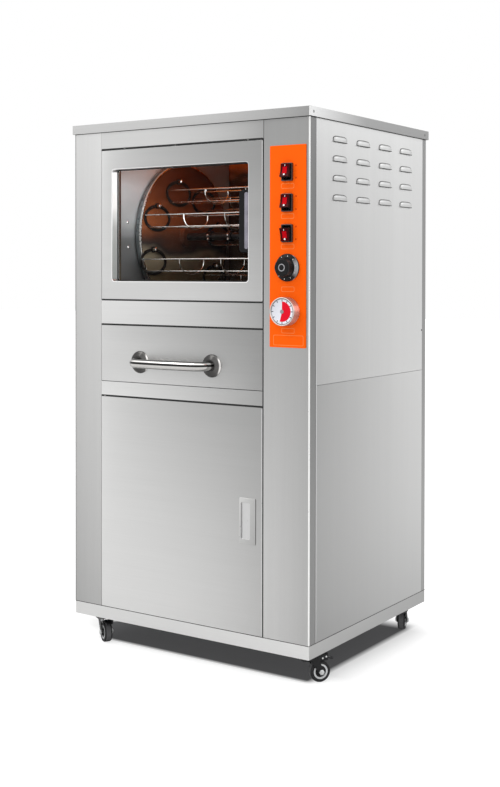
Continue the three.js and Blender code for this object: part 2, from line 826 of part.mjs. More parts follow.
// A knob or dial revolved about its spindle, with heights measured outwards from the plate.
function knob(profile, z) {
  const face = plateFace - knobGap;
  const solidKnob = revolve(profile, "front", [controlX, face, z], knobSides);
  const boreSpan = [face - spindleReach - fit, face + pierce];
  return cut(solidKnob, hole(spindleRadius + fit, boreSpan, "y", [controlX, 0, z], spindleSides));
}

const knobProfile = [
  [0, 0],
  [skirtRadius, 0],
  [skirtRadius, skirtDepth / 2],
  [skirtRadius - sheet, skirtDepth],
  [capRadius + sheet, skirtDepth + sheet],
  [capRadius, skirtDepth + 2 * sheet],
  [capRadius - sheet, knobDepth - 2 * sheet],
  [capRadius - 3 * sheet, knobDepth],
  [0, knobDepth],
];

const dialProfile = [
  [0, 0],
  [dialRadius - sheet, 0],
  [dialRadius - sheet, dialDepth - 2 * dialBezel],
  [dialRadius, dialDepth - dialBezel],
  [dialRadius - dialBezel / 2, dialDepth],
  [dialRadius - dialBezel, dialDepth],
  [dialRadius - dialBezel, dialDepth - dialRecess],
  [0, dialDepth - dialRecess],
];

// A control's body behind the column's face, with the spindle that carries its knob.
function controlBody(z) {
  const half = controlBodySize / 2;
  const y = [front + sheet + controlGap, front + sheet + controlGap + controlBodyDepth];
  const body = slab(
    rectangle([controlX - half, controlX + half], [z - half, z + half], bendRadius),
    "y",
    y,
  );
  const spindleSpan = [plateFace - knobGap - spindleReach, y[0] + sheet];
  return join(body, bar(spindleRadius, spindleSpan, "y", [controlX, 0, z], spindleSides));
}

function cableGland() {
  const face = rear + fit;
  const profile = [
    [glandBore, rear - sheet - glandInside],
    [glandThread, rear - sheet - glandInside],
    [glandThread, face],
    [glandRadius, face],
    [glandRadius, face + glandReach / 3],
    [glandRadius - sheet, face + glandReach / 3 + sheet],
    [glandThread + sheet, face + glandReach - sheet],
    [glandThread, face + glandReach],
    [glandBore, face + glandReach],
    [glandBore, rear - sheet - glandInside],
  ];
  return revolve(profile, "y", [glandX, 0, glandZ], glandSides);
}

// Oven door
const windowX = [doorLeft + windowLeft, doorRight - windowRight];
const windowZ = [ovenDoorBottom + windowBottom, ovenDoorTop - windowTop];
const glassY = [front + jambDepth + fit, front + jambDepth + fit + glassThickness];

function ovenDoorSkin() {
  const shell = tray([doorLeft, doorRight], [ovenDoorBottom, ovenDoorTop], ovenDoorDepth);
  const jamb = slab(
    rectangle(grow(windowX, sheet), grow(windowZ, sheet), windowCorner + sheet),
    "y",
    [front, front + jambDepth],
    cornerSteps,
  );
  const opening = slab(
    rectangle(windowX, windowZ, windowCorner),
    "y",
    through([front, front + ovenDoorDepth]),
    cornerSteps,
  );
  return cut(join(shell, jamb, pivotPins(ovenDoorBottom, ovenDoorTop)), opening);
}

function ovenDoorLiner() {
  const y = [front + ovenDoorDepth + fit, front + ovenDoorDepth + fit + sheet];
  const plate = block([doorLeft, doorRight], y, [ovenDoorBottom, ovenDoorTop]);
  return cut(plate, slab(rectangle(windowX, windowZ, windowCorner), "y", through(y), cornerSteps));
}

function ovenDoorGlass() {
  return slab(
    rectangle(grow(windowX, glassMargin), grow(windowZ, glassMargin), windowCorner),
    "y",
    glassY,
    cornerSteps,
  );
}

// The pull at the window's right edge: a rounded lip to hook the fingers behind, on a wall at the jamb.
function ovenDoorPull() {
  const x = [windowX[1] - fit - gripWidth, windowX[1] - fit];
  const z = [windowZ[0] + gripAboveWindow, windowZ[0] + gripAboveWindow + gripHeight];
  const y = [front + gripSetback, front + gripSetback + gripLip];
  const rounded = slab(rectangle([x[0], x[1] + gripCorner], z, gripCorner), "y", y, cornerSteps);
  const lip = rounded.intersect(block(x, through(y), z));
  return join(lip, block([x[1] - gripWall, x[1]], [y[0], glassY[0] - fit], z));
}

// Lower door
const pullX = [doorRight - pullFromRight - pullWidth, doorRight - pullFromRight];
const pullZ = [lowerDoorBottom + pullAboveDoor, lowerDoorBottom + pullAboveDoor + pullHeight];
const cupX = grow(pullX, -cupInset + cupWall);
const cupZ = grow(pullZ, -cupInset + cupWall);

function lowerDoorPanel() {
  const shell = tray([doorLeft, doorRight], [lowerDoorBottom, lowerDoorTop], lowerDoorDepth);
  const hole = block(grow(cupX, fit), through([front, front + sheet]), grow(cupZ, fit));
  return cut(join(shell, pivotPins(lowerDoorBottom, lowerDoorTop)), hole);
}

// A flush pull: a flange on the door, a mouth at its left and a cup that runs on behind the right side.
function lowerDoorPull() {
  const face = [front - fit - pullFlange, front - fit];
  const flange = slab(rectangle(pullX, pullZ, pullCorner), "y", face);
  const cup = block(cupX, [face[1] - pullFlange, face[1] + cupDepth], cupZ);
  const room = block(grow(cupX, -cupWall), [face[1], face[1] + cupDepth - cupWall], grow(cupZ, -cupWall));
  const mouthZ = (pullHeight - mouthHeight) / 2;
  const mouth = slab(
    rectangle([pullX[0] + cupInset, pullX[0] + cupInset + mouthWidth], grow(pullZ, -mouthZ), cupWall),
    "y",
    through(face),
  );
  return cut(join(flange, cup), room, mouth);
}

// Drawer
function drawerBox() {
  const x = drawerBoxX();
  const y = [front + drawerFrontDepth + fit, rear - drawerBackRoom];
  const z = [lowerRailTop + sheet + fit, lowerRailTop + sheet + fit + drawerBoxHeight];
  return cut(block(x, y, z), block(grow(x, -sheet), grow(y, -sheet), [z[0] + sheet, z[1] + pierce]));
}

// The drawer's handle: a bowed bar with bent ends that run into two domed rosettes.
function drawerHandle() {
  const x0 = doorLeft + handleFromLeft;
  const z = drawerBottom + handleHeight;
  const foot = front - fit;
  const leg = handleReach - handleBend;
  const bend = (Math.PI / 2) * handleBend;
  const middle = handleSpacing - 2 * handleBend;
  const total = 2 * (leg + bend) + middle;
  const half = (s) => {
    if (s <= leg) return [0, s];
    if (s <= leg + bend) {
      const angle = (s - leg) / handleBend;
      return [handleBend * (1 - Math.cos(angle)), leg + handleBend * Math.sin(angle)];
    }
    const along = s - leg - bend;
    return [handleBend + along, handleReach + handleBow * Math.sin((Math.PI * along) / middle)];
  };
  const place = (t) => {
    const s = t * total;
    const [along, out] = half(Math.min(s, total - s));
    return [x0 + (s <= total / 2 ? along : handleSpacing - along), foot - out, z];
  };
  const grip = tube(place, handleRadius, handleSides, handleSteps);
  const rosette = [
    [0, 0],
    [rosetteRadius, 0],
    [rosetteRadius, sheet],
    [rosetteRadius - 2 * sheet, rosetteHeight / 2],
    [rosetteNeck, rosetteHeight],
    [0, rosetteHeight],
  ];
  const rosettes = [x0, x0 + handleSpacing].map((x) => revolve(rosette, "front", [x, foot, z], rosetteSides));
  return join(grip, rosettes);
}

// Rotor
function rotorShaft() {
  const rod = bar(shaftRadius, shaftX, "x", [0, rotorY, rotorZ], shaftSides);
  const collars = collarInsets.map((inset) => {
    const x = discX[0] + inset;
    const span = [x - collarLength / 2, x + collarLength / 2];
    return bar(collarRadius, span, "x", [0, rotorY, rotorZ], shaftSides);
  });
  return join(rod, collars);
}

const studPlace = (index) => {
  const angle = THREE.MathUtils.degToRad(basketPhase + (index * 360) / basketCount);
  return [rotorY + studCircle * Math.cos(angle), rotorZ + studCircle * Math.sin(angle)];
};

// A disc with a rolled rim and a hub; its studs point at the other disc.
function rotorDisc(x, inward) {
  const profile = [
    [0, 0],
    [discRadius - rimRadius, 0],
    [discRadius - rimRadius / 2, -rimRadius],
    [discRadius + rimRadius / 2, -rimRadius / 2],
    [discRadius + rimRadius / 2, discPlate],
    [hubRadius, discPlate],
    [hubRadius, hubLength],
    [0, hubLength],
  ].map(([r, h]) => [r, h * inward]);
  const disc = revolve(profile, "x", [x, rotorY, rotorZ], discSides);
  const reach = discPlate + studLength;
  const studs = Array.from({ length: basketCount }, (_, i) => {
    const [y, z] = studPlace(i);
    const span = [x, x + inward * reach].sort((a, b) => a - b);
    return bar(studRadius, span, "x", [0, y, z], studSides);
  });
  const boreX = grow([x, x], 2 * hubLength);
  const bore = hole(shaftRadius + fit, boreX, "x", [0, rotorY, rotorZ], shaftSides);
  return cut(join(disc, studs), bore);
}

// A basket about its own pivot line: end hoops hung from eyes, rim wires, floor wires and cross wires.
function basket() {
  const length = discX[1] - discX[0] - 2 * (discPlate + eyeGap);
  const ends = [-length / 2, length / 2];
  const tall = basketDrop / 2;
  const at = (x, angle) => [x, basketHalfWidth * Math.sin(angle), -tall + tall * Math.cos(angle)];
  const wires = [];
  for (const end of ends) {
    const inner = end - Math.sign(end) * eyeWidth;
    const middle = (end + inner) / 2;
    const start = Math.asin((eyeRadius + studRadius + studClearance) / 2 / basketHalfWidth);
    const span = [Math.min(end, inner), Math.max(end, inner)];
    wires.push(ring(eyeRadius, studRadius + studClearance, span, "x", [0, 0, 0], eyeSides));
    wires.push(
      tube((t) => at(middle, start + t * (2 * Math.PI - 2 * start)), hoopWire, hoopSides, hoopSteps),
    );
  }
  const rimAngle = Math.acos((tall - rimDrop) / tall);
  const reach = ends.map((end) => end - (Math.sign(end) * eyeWidth) / 2);
  const below = Math.PI - rimAngle;
  const floorAngles = floorShares.map((share) => Math.PI + share * 2 * below);
  const angles = [rimAngle, ...floorAngles, 2 * Math.PI - rimAngle];
  for (const angle of angles) {
    const [, y, z] = at(0, angle);
    wires.push(bar(rimWire, reach, "x", [0, y, z], wireSides));
  }
  for (let i = 1; i <= crossCount; i++) {
    const x = reach[0] + ((reach[1] - reach[0]) * i) / (crossCount + 1);
    const arc = (t) => at(x, rimAngle + t * 2 * below);
    wires.push(tube(arc, rimWire, wireSides, crossSteps));
  }
  return join(wires);
}

// Casters, each about its own swivel line with the wheel trailing towards +X before it is turned.
function casterFork(braked) {
  const cheek = wheelWidth / 2 + cheekGap;
  const plate = [forkTop - forkPlate, forkTop];
  const top = ring(forkRadius, kingpinRadius + fit, plate, "z", [0, 0, 0], roundSides);
  const crown = cut(
    block([0, trail], [-cheek - forkPlate, cheek + forkPlate], [forkTop - forkPlate, forkTop]),
    hole(kingpinHead + fit, through([forkTop - forkPlate, forkTop]), "z", [0, 0, 0], roundSides),
  );
  const tail = braked ? trail + pedalPinBack + 2 * pedalPin : trail + cheekWidth / 2;
  const outline = polygon([
    [-cheekWidth / 4, forkTop],
    [trail - cheekWidth / 2, wheelRadius],
    [trail - cheekWidth / 4, wheelRadius - cheekWidth / 3],
    [trail + cheekWidth / 4, wheelRadius - cheekWidth / 3],
    [trail + cheekWidth / 2, wheelRadius],
    [trail + cheekWidth / 2, pedalPinHeight - 2 * pedalPin],
    [tail, pedalPinHeight - 2 * pedalPin],
    [tail, forkTop],
  ]);
  const cheeks = [-1, 1].map((side) => {
    const y = [side * cheek, side * (cheek + forkPlate)].sort((a, b) => a - b);
    return slab(outline, "y", y);
  });
  const outer = cheek + forkPlate;
  const axle = bar(axleRadius, [-outer, outer], "y", [trail, 0, wheelRadius], roundSides);
  const heads = [-1, 1].map((side) => {
    const span = [side * outer, side * (outer + axleHeadLength)].sort((a, b) => a - b);
    return bar(axleHead, span, "y", [trail, 0, wheelRadius], nutSides);
  });
  const parts = [top, crown, cheeks, axle, heads];
  const made = join(parts.flat());
  if (!braked) return made;
  const pinHole = hole(
    pedalPin + fit,
    through([-outer, outer]),
    "y",
    [trail + pedalPinBack, 0, pedalPinHeight],
    spindleSides,
  );
  return cut(made, pinHole);
}

// A wheel with a flat of its many-sided tread on the floor, a recessed face and a bore.
function casterWheel() {
  const radius = wheelRadius / Math.cos(Math.PI / wheelSides);
  const half = wheelWidth / 2;
  const bore = opened(axleRadius + axleClearance, wheelSides);
  const profile = [
    [bore, -half],
    [radius * webShare, -half + cheekGap],
    [radius - 2 * cheekGap, -half],
    [radius, -half + 2 * cheekGap],
  ];
  const mirrored = profile.map(([r, h]) => [r, -h]).reverse();
  const wheel = revolve([...profile, ...mirrored, profile[0]], "y", [0, 0, 0], wheelSides);
  return wheel.rotate([0, 180 / wheelSides, 0]).translate([trail, 0, wheelRadius]);
}

// A brake pedal on its pin between the fork's cheeks, reaching out over the wheel.
function brakePedal() {
  const half = pedalWidth / 2;
  const pinX = trail + pedalPinBack;
  const hub = bar(2 * pedalPin - fit, [-half, half], "y", [pinX, 0, pedalPinHeight], spindleSides);
  const outer = wheelWidth / 2 + cheekGap + forkPlate;
  const pin = bar(pedalPin, [-outer, outer], "y", [pinX, 0, pedalPinHeight], spindleSides);
  const rise = pedalPinHeight + 2 * pedalPin - fit;
  const outline = polygon([
    [pinX, rise - pedalThickness],
    [pinX + pedalLength - pedalThickness, rise - 3 * pedalThickness],
    [pinX + pedalLength, rise - 2 * pedalThickness],
    [pinX + pedalLength - pedalThickness, rise - 2 * pedalThickness],
    [pinX, rise],
  ]);
  return join(hub, pin, slab(outline, "y", [-half, half]));
}

const root = new THREE.Group();

const cabinet = group(root);
piece(cabinet, "base_pan", base(), "brushed");
piece(cabinet, "lid_top", lid(), "brushed");
piece(cabinet, "front_left_column", column(left, bayLeft), "brushed");
piece(
  cabinet,
  "front_right_column",
  cut(column(right, bayRight), controlCutouts(through([front, front + sheet]))),
  "brushed",
);
const topRailZ = [topRailBottom, panelTop];
const topRailFace = block([bayLeft + seam, bayRight - seam], [front, front + sheet], topRailZ);
const topRailFlange = block(
  [bayLeft + seam, bayRight - seam],
  [front, returnBack],
  [topRailBottom, topRailBottom + sheet],
);
piece(
  cabinet,
  "top_rail",
  cut(join(topRailFace, topRailFlange), pivotHole([topRailBottom, topRailBottom + sheet])),
  "brushed",
);
piece(
  cabinet,
  "middle_rail",
  cut(rail([middleRailBottom, middleRailTop]), pivotHole([middleRailTop - sheet, middleRailTop])),
  "brushed",
);
piece(cabinet, "drawer_shelf", drawerShelf(), "brushed");
const sideSplit = drawerBottom + sideSplitRise;
piece(cabinet, "left_side_panel", sidePanel(-1, [panelBottom, panelTop]), "brushed");
piece(cabinet, "right_side_upper", louvredPanel([sideSplit + seam / 2, panelTop]), "brushed");
piece(cabinet, "right_side_lower", sidePanel(1, [panelBottom, sideSplit - seam / 2]), "brushed");
piece(cabinet, "rear_panel", rearPanel(), "brushed");
piece(cabinet, "cabinet_liner", cabinetLiner(), "zinc");
piece(cabinet, "chamber_liner", chamberLiner(), "polished");
piece(cabinet, "insulation_jacket", insulationJacket(), "wool");
for (const { name, z, span } of heaterPlaces) {
  piece(cabinet, name, tube(heaterPath(z, span), heaterRadius, heaterSides, heaterSteps), "heater");
}
piece(cabinet, "shaft_bearing", shaftBearing(), "zinc");
piece(cabinet, "gear_motor", gearMotor(), "black");
piece(cabinet, "cable_gland", cableGland(), "black");

const controls = group(root);
piece(controls, "control_plate", controlPlate(), "orange");
switchPlaces.forEach((z, i) => {
  piece(controls, "switch_housing_" + (i + 1), switchHousing(z), "black");
  const pivotPlace = [controlX, plateFace - fit - bezelDepth + rockerSunk, z];
  const pivot = group(controls, pivotPlace, -switchTilts[i] * rockerTilt, X);
  piece(pivot, "switch_rocker_" + (i + 1), rocker(), "red");
});
piece(controls, "thermostat_body", controlBody(knobZ), "zinc");
piece(controls, "timer_body", controlBody(timerZ), "zinc");
piece(controls, "thermostat_knob", knob(knobProfile, knobZ), "black");
piece(controls, "timer_dial", knob(dialProfile, timerZ), "polished");

const ovenDoor = group(root);
piece(ovenDoor, "oven_door_skin", ovenDoorSkin(), "brushed");
piece(ovenDoor, "oven_door_liner", ovenDoorLiner(), "brushed");
piece(ovenDoor, "oven_door_glass", ovenDoorGlass(), "glass");
piece(ovenDoor, "oven_door_pull", ovenDoorPull(), "black");

const lowerDoor = group(root);
piece(lowerDoor, "lower_door_panel", lowerDoorPanel(), "brushed");
piece(lowerDoor, "lower_door_pull", lowerDoorPull(), "polished");

const drawer = group(root);
const drawerFront = tray([doorLeft, doorRight], [drawerBottom, drawerTop], drawerFrontDepth);
piece(drawer, "drawer_front", drawerFront, "brushed");
piece(drawer, "drawer_box", drawerBox(), "zinc");
piece(drawer, "drawer_handle", drawerHandle(), "polished");

const rotor = group(root);
piece(rotor, "rotor_shaft", rotorShaft(), "zinc");
piece(rotor, "rotor_disc_left", rotorDisc(discX[0], 1), "polished");
piece(rotor, "rotor_disc_right", rotorDisc(discX[1], -1), "polished");
for (let i = 0; i < basketCount; i++) {
  const [y, z] = studPlace(i);
  const hung = group(rotor, [(discX[0] + discX[1]) / 2, y, z]);
  piece(hung, "basket_" + (i + 1), basket(), "polished");
}

casterPlaces.forEach(([x, y], i) => {
  const swivel = group(root, [x, y, 0], casterTurns[i]);
  const braked = y < 0;
  piece(swivel, "caster_fork_" + casterNames[i], casterFork(braked), "black");
  piece(swivel, "caster_wheel_" + casterNames[i], casterWheel(), "rubber");
  if (braked) piece(swivel, "brake_pedal_" + casterNames[i], brakePedal(), "black");
});

// The handle stands out in front, so the whole is set back until its bounding box is centred.
const extent = new THREE.Box3().setFromObject(root);
root.position.y = -(extent.min.y + extent.max.y) / 2;

export default root;
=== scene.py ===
"""Looks of a sweet potato roaster: a steel cabinet on casters with a glazed, rotor-fed hot chamber.

Sizes in the classes below are millimetres in the part's own frame (+Z up, the doors face -Y, the floor at
zero). Meshes are written in metres. Each sub-assembly is a class that builds its pieces and dresses them.
"""

import json
import logging
import math
from dataclasses import dataclass
from dataclasses import field
from dataclasses import replace
from enum import Enum
from functools import reduce
from typing import Any
from typing import Sequence

import bmesh
import bpy
from mathutils import Matrix
from mathutils import Vector

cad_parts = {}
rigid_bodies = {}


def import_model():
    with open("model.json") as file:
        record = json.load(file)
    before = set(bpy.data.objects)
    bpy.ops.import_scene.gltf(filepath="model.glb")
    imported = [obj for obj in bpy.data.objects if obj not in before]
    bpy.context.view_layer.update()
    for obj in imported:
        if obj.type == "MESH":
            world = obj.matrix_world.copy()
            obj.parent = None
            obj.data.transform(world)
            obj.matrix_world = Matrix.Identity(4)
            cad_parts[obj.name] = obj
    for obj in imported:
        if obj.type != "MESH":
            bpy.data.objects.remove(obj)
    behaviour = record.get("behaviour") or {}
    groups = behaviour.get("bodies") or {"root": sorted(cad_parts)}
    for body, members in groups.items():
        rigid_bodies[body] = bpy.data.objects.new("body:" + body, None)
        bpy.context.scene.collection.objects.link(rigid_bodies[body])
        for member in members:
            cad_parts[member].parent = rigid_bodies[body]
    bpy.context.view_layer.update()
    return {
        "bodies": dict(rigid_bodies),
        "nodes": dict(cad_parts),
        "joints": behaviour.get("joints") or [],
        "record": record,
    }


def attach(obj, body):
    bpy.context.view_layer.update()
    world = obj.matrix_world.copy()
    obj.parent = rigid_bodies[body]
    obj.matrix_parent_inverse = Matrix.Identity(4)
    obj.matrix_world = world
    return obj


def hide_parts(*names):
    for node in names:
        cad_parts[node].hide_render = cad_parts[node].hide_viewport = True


Point = tuple[float, float]
Place = tuple[float, float, float]
Colour = tuple[float, float, float]
Tones = tuple[float, float, float, float]
Block = tuple[Point, Point, Point]
Outline = Sequence[Point]
Socket = bpy.types.NodeSocket
Mesh = bpy.types.Mesh
Faces = bmesh.types.BMesh

MM = 0.001
MERGE_GAP = 0.001
ON_AXIS = 1e-6
ROUND = 48
DISC_ROUND = 96
DIAL_ROUND = 72
ORIGIN: Place = (0.0, 0.0, 0.0)
UP: Place = (0.0, 0.0, 1.0)
RIGHTWARDS: Place = (1.0, 0.0, 0.0)
OUTWARDS: Place = (0.0, -1.0, 0.0)
SHELL_X: Point = (-350.0, 349.0)
SHELL_Z: Point = (105.0, 1322.0)
SIDE_Y: Point = (-283.3, 322.1)
DOOR_X: Point = (-261.2, 224.0)
DOOR_FACE = -277.9
FOLD_X: Point = (221.5, 223.6)
NOISE_SPAN: Point = (0.3, 0.7)
SLOW_GRAIN = 14
USUAL_BLOTCH = 7.0
RELIEF_HEIGHT = 0.0006
# Grain and wave of the borders of the colour ramp by height.
HEIGHT_RAMP_GRAIN: Place = (3.0, 3.0, 9.0)
HEIGHT_RAMP_WAVE = 0.09
LOG = logging.getLogger("roaster")


class Face(Enum):
    """The side of the cabinet that a flat piece lies on, as the turn from drawing axes to the part's axes."""

    FRONT = ((1, 0, 0), (0, 0, -1), (0, 1, 0))
    RIGHT = ((0, 0, 1), (1, 0, 0), (0, 1, 0))
    TOP = ((1, 0, 0), (0, 1, 0), (0, 0, 1))

    def matrix(self) -> Matrix:
        """Returns the turn that takes x, y and the normal of a drawing to this side."""
        return Matrix(self.value).to_4x4()


class Slot(Enum):
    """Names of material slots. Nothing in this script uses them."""

    STEEL = "brushed_steel"
    POLISHED = "polished_steel"
    CHROME = "chrome"
    ZINC = "zinc_steel"
    PAINT = "black_paint"
    PLASTIC = "black_plastic"
    PLATE = "orange_plate"
    LENS = "red_lens"
    RUBBER = "rubber"


def grey(tone: float) -> Colour:
    """Returns the grey of a tone."""
    return (tone, tone, tone)


@dataclass(frozen=True)
class Wash:
    """Painted light and shade over a sheet, standing in for its reflections: factors at its four corners,
    between two places along each way.

    The corners run low-near, low-far, high-near, high-far, where near is the start of the axis. Above one,
    ease keeps the near tone longer, and the high row may have an ease of its own. What lies beyond the edge
    along x has two painted factors of its own, which run up the sheet or along the given run.
    """

    axis: int
    start: float
    end: float
    low: float
    high: float
    corners: Tones
    ease: float = 1.0
    ease_high: float | None = None
    edge: float = 1e6
    edge_tones: Point = (1.0, 1.0)
    edge_run: tuple[int, float, float] | None = None


@dataclass(frozen=True)
class Finish:
    """One surface finish: its colour, gloss, grain, wear and relief, with any painted light and shade.

    The grain counts features per metre, along each axis or the same along all three. A ramp by lean paints
    reflections, highlights and shade on a piece by how far it leans along an axis; a ramp by height colours
    a hot piece with heat tint and painted glow, light and shade; and a painted sheen gives a sheet painted
    light and shade over its face.
    """

    name: str
    colour: Colour
    metallic: float = 0.0
    roughness: float = 0.5
    grain: Place | float = 90.0
    shade: float = 0.06
    polish: float = 0.06
    relief: float = 0.08
    blotch: float = USUAL_BLOTCH
    alpha: float = 1.0
    gleam: float = 0.5
    glow: float = 0.0
    glow_colour: Colour = (1.0, 0.3, 0.05)
    # Painted light and shade over a sheet's face.
    wash: Wash | None = None
    # Painted reflections, highlights and shade by how far the surface leans.
    bands: tuple[Point, ...] = ()
    lean_axis: int = 2
    # Colour by height: heat tint with painted glow, light and shade.
    stains: tuple[tuple[float, Colour], ...] = ()

    def material(self) -> bpy.types.Material:
        """Builds the finish as a node material, once.

        Returns:
            The material of this name.
        """
        known = bpy.data.materials.get(self.name)
        if known is not None:
            return known
        graph = Graph(self.name)
        place = graph.coordinates()
        grain = self.grain if isinstance(self.grain, tuple) else (self.grain,) * 3
        coarse = tuple(max(0.4, g / SLOW_GRAIN) for g in grain)
        fine = graph.noise(graph.scaled(place, grain), 1.0, 3.0)
        slow = graph.noise(graph.scaled(place, coarse), self.blotch / USUAL_BLOTCH, 2.0)
        both = graph.math("MULTIPLY_ADD", fine, 0.5, graph.math("MULTIPLY", slow, 0.5))
        dark = tuple(c * (1 - self.shade) for c in self.colour)
        light = tuple(min(1.0, c * (1 + self.shade)) for c in self.colour)
        colour = graph.mixed(graph.ranged(both, *NOISE_SPAN, 0.0, 1.0), dark, light)
        # Painted light and shade over a sheet's face.
        if self.wash is not None:
            colour = graph.washed(colour, place, self.wash)
        # Painted reflections, highlights and shade by how far the surface leans.
        if self.bands:
            colour = graph.banded(colour, self.bands, self.lean_axis)
        # Colour by height: heat tint with painted glow, light and shade.
        if self.stains:
            colour = graph.mixed(1.0, colour, graph.stained(place, self.stains), "MULTIPLY")
        low, high = max(0.02, self.roughness - self.polish), self.roughness + self.polish
        rough = graph.ranged(both, *NOISE_SPAN, low, high)
        graph.finish(Base_Color=colour, Metallic=self.metallic, Roughness=rough, Alpha=self.alpha,
                     Specular_IOR_Level=self.gleam, Normal=graph.bump(fine, self.relief))
        if self.glow > 0:
            graph.finish(Emission_Color=self.glow_colour, Emission_Strength=self.glow)
        return graph.material


class Tree:
    """A node tree, to which nodes are added with their inputs joined or set."""

    def __init__(self, tree: bpy.types.NodeTree) -> None:
        """Takes the tree and empties it."""
        self.tree = tree
        self.tree.nodes.clear()

    def put(self, value: Any, target: Socket) -> None:
        """Joins a socket to an input, or sets a plain value on it.

        Args:
            value: A socket, a number, a colour or the like.
            target: The input that takes it.
        """
        if isinstance(value, Socket):
            self.tree.links.new(value, target)
        elif isinstance(value, tuple) and len(value) == 3 and target.type == "RGBA":
            target.default_value = (*value, 1.0)
        else:
            target.default_value = value

    def feed(self, node: bpy.types.Node, values: dict[str, Any]) -> None:
        """Puts values into a node's inputs, each known by its name or number."""
        for name, value in values.items():
            self.put(value, node.inputs[int(name)] if name.isdigit() else node.inputs[name])

    def node(self, kind: str, values: dict[str, Any], result: int = 0, **settings: Any) -> Socket:
        """Adds a node.

        Args:
            kind: The node's type.
            values: What goes into its inputs, by their names or numbers.
            result: Number of the output wanted.
            settings: The node's own settings.

        Returns:
            The wanted output.
        """
        node = self.tree.nodes.new(kind)
        for name, value in settings.items():
            setattr(node, name, value)
        self.feed(node, values)
        return node.outputs[result]


class Graph(Tree):
    """A material's node tree, with one call for each kind of step."""

    def __init__(self, name: str) -> None:
        """Starts a material with its shader and output.

        Args:
            name: The material's name.
        """
        self.material = bpy.data.materials.new(name)
        self.material.use_nodes = True
        super().__init__(self.material.node_tree)
        self.shader = self.tree.nodes.new("ShaderNodeBsdfPrincipled")
        output = self.tree.nodes.new("ShaderNodeOutputMaterial")
        self.put(self.shader.outputs["BSDF"], output.inputs["Surface"])

    def finish(self, **values: Any) -> None:
        """Puts values into the shader's inputs, where a name's underscores stand for blanks."""
        self.feed(self.shader, {name.replace("_", " "): value for name, value in values.items()})

    def coordinates(self) -> Socket:
        """Returns the piece's own coordinates."""
        return self.node("ShaderNodeTexCoord", {}, 3)

    def rise(self, value: Socket, start: float, end: float) -> Socket:
        """Returns a place's share of the way between two places in millimetres, from zero to one."""
        return self.ranged(value, start * MM, end * MM, 0.0, 1.0)

    def fall(self, value: Socket, start: float, end: float) -> Socket:
        """Returns one minus a place's share of the way between two places in millimetres."""
        return self.ranged(value, start * MM, end * MM, 1.0, 0.0)

    def product(self, *values: Socket) -> Socket:
        """Returns the product of sockets."""
        return reduce(lambda first, second: self.math("MULTIPLY", first, second), values)

    def scaled(self, place: Socket, scale: Place) -> Socket:
        """Returns coordinates stretched to that many features per metre along each axis."""
        return self.node("ShaderNodeMapping", {"Vector": place, "Scale": scale})

    def noise(self, place: Socket, scale: float, detail: float) -> Socket:
        """Returns a noise pattern from zero to one, with that many layers of finer noise."""
        return self.node("ShaderNodeTexNoise", {"Vector": place, "Scale": scale, "Detail": detail})

    def math(self, kind: str, *values: Any) -> Socket:
        """Returns a sum, product or the like of sockets and numbers."""
        return self.node("ShaderNodeMath", {str(i): value for i, value in enumerate(values)}, operation=kind)

    def ranged(self, value: Socket, a: float, b: float, low: float, high: float) -> Socket:
        """Returns a value mapped and clamped, so that a gives low and b gives high."""
        values = {"Value": value, "From Min": a, "From Max": b, "To Min": low, "To Max": high}
        return self.node("ShaderNodeMapRange", values)

    def mixed(self, share: Any, first: Any, second: Any, blend: str = "MIX") -> Socket:
        """Returns the second colour blended over the first one, by its share."""
        values = {"0": share, "6": first, "7": second}
        return self.node("ShaderNodeMix", values, 2, data_type="RGBA", blend_type=blend)

    def split(self, place: Socket) -> list[Socket]:
        """Returns the three parts of a vector."""
        return list(self.node("ShaderNodeSeparateXYZ", {"0": place}).node.outputs)

    def washed(self, colour: Socket, place: Socket, wash: Wash) -> Socket:
        """Multiplies a colour by a sheet's painted light and shade.

        Args:
            colour: The plain colour.
            place: The piece's coordinates.
            wash: The painted factors at the sheet's corners.

        Returns:
            The colour with its painted light and shade.
        """
        parts = self.split(place)
        share = self.rise(parts[wash.axis], wash.start, wash.end)
        along = self.math("POWER", share, wash.ease)
        along_high = self.math("POWER", share, wash.ease_high or wash.ease)
        up = self.rise(parts[2], wash.low, wash.high)
        tones = [grey(tone) for tone in wash.corners]
        sheet_tone = self.mixed(up, self.mixed(along, *tones[:2]), self.mixed(along_high, *tones[2:]))
        beyond = self.math("GREATER_THAN", parts[0], wash.edge * MM)
        axis, first, last = wash.edge_run or (2, wash.low, wash.high)
        edge_tone = self.mixed(self.rise(parts[axis], first, last), *[grey(tone) for tone in wash.edge_tones])
        return self.mixed(1.0, colour, self.mixed(beyond, sheet_tone, edge_tone), "MULTIPLY")

    def ramp(self, share: Socket, stops: Sequence[tuple[float, Colour]]) -> Socket:
        """Runs through colours.

        Args:
            share: The share of the way from the first stop to the last.
            stops: Pairs of place and colour.

        Returns:
            The colour.
        """
        low, high = stops[0][0], stops[-1][0]
        result = self.node("ShaderNodeValToRGB", {"0": share})
        elements = result.node.color_ramp.elements
        while len(elements) < len(stops):
            elements.new(0.5)
        for element, (where, tint) in zip(elements, stops):
            element.position = (where - low) / (high - low)
            element.color = (*tint, 1.0)
        return result

    def stained(self, place: Socket, stains: Sequence[tuple[float, Colour]]) -> Socket:
        """Colours a sheet by height, with wavy borders: heat tint, and painted glow, light and shade.

        Args:
            place: The piece's coordinates.
            stains: Pairs of height and colour.

        Returns:
            The colour.
        """
        wave = self.noise(self.scaled(place, HEIGHT_RAMP_GRAIN), 2.0, 2.0)
        wavy = self.math("MULTIPLY_ADD", wave, HEIGHT_RAMP_WAVE, -HEIGHT_RAMP_WAVE / 2)
        height = self.math("ADD", self.split(place)[2], wavy)
        return self.ramp(self.rise(height, stains[0][0], stains[-1][0]), stains)

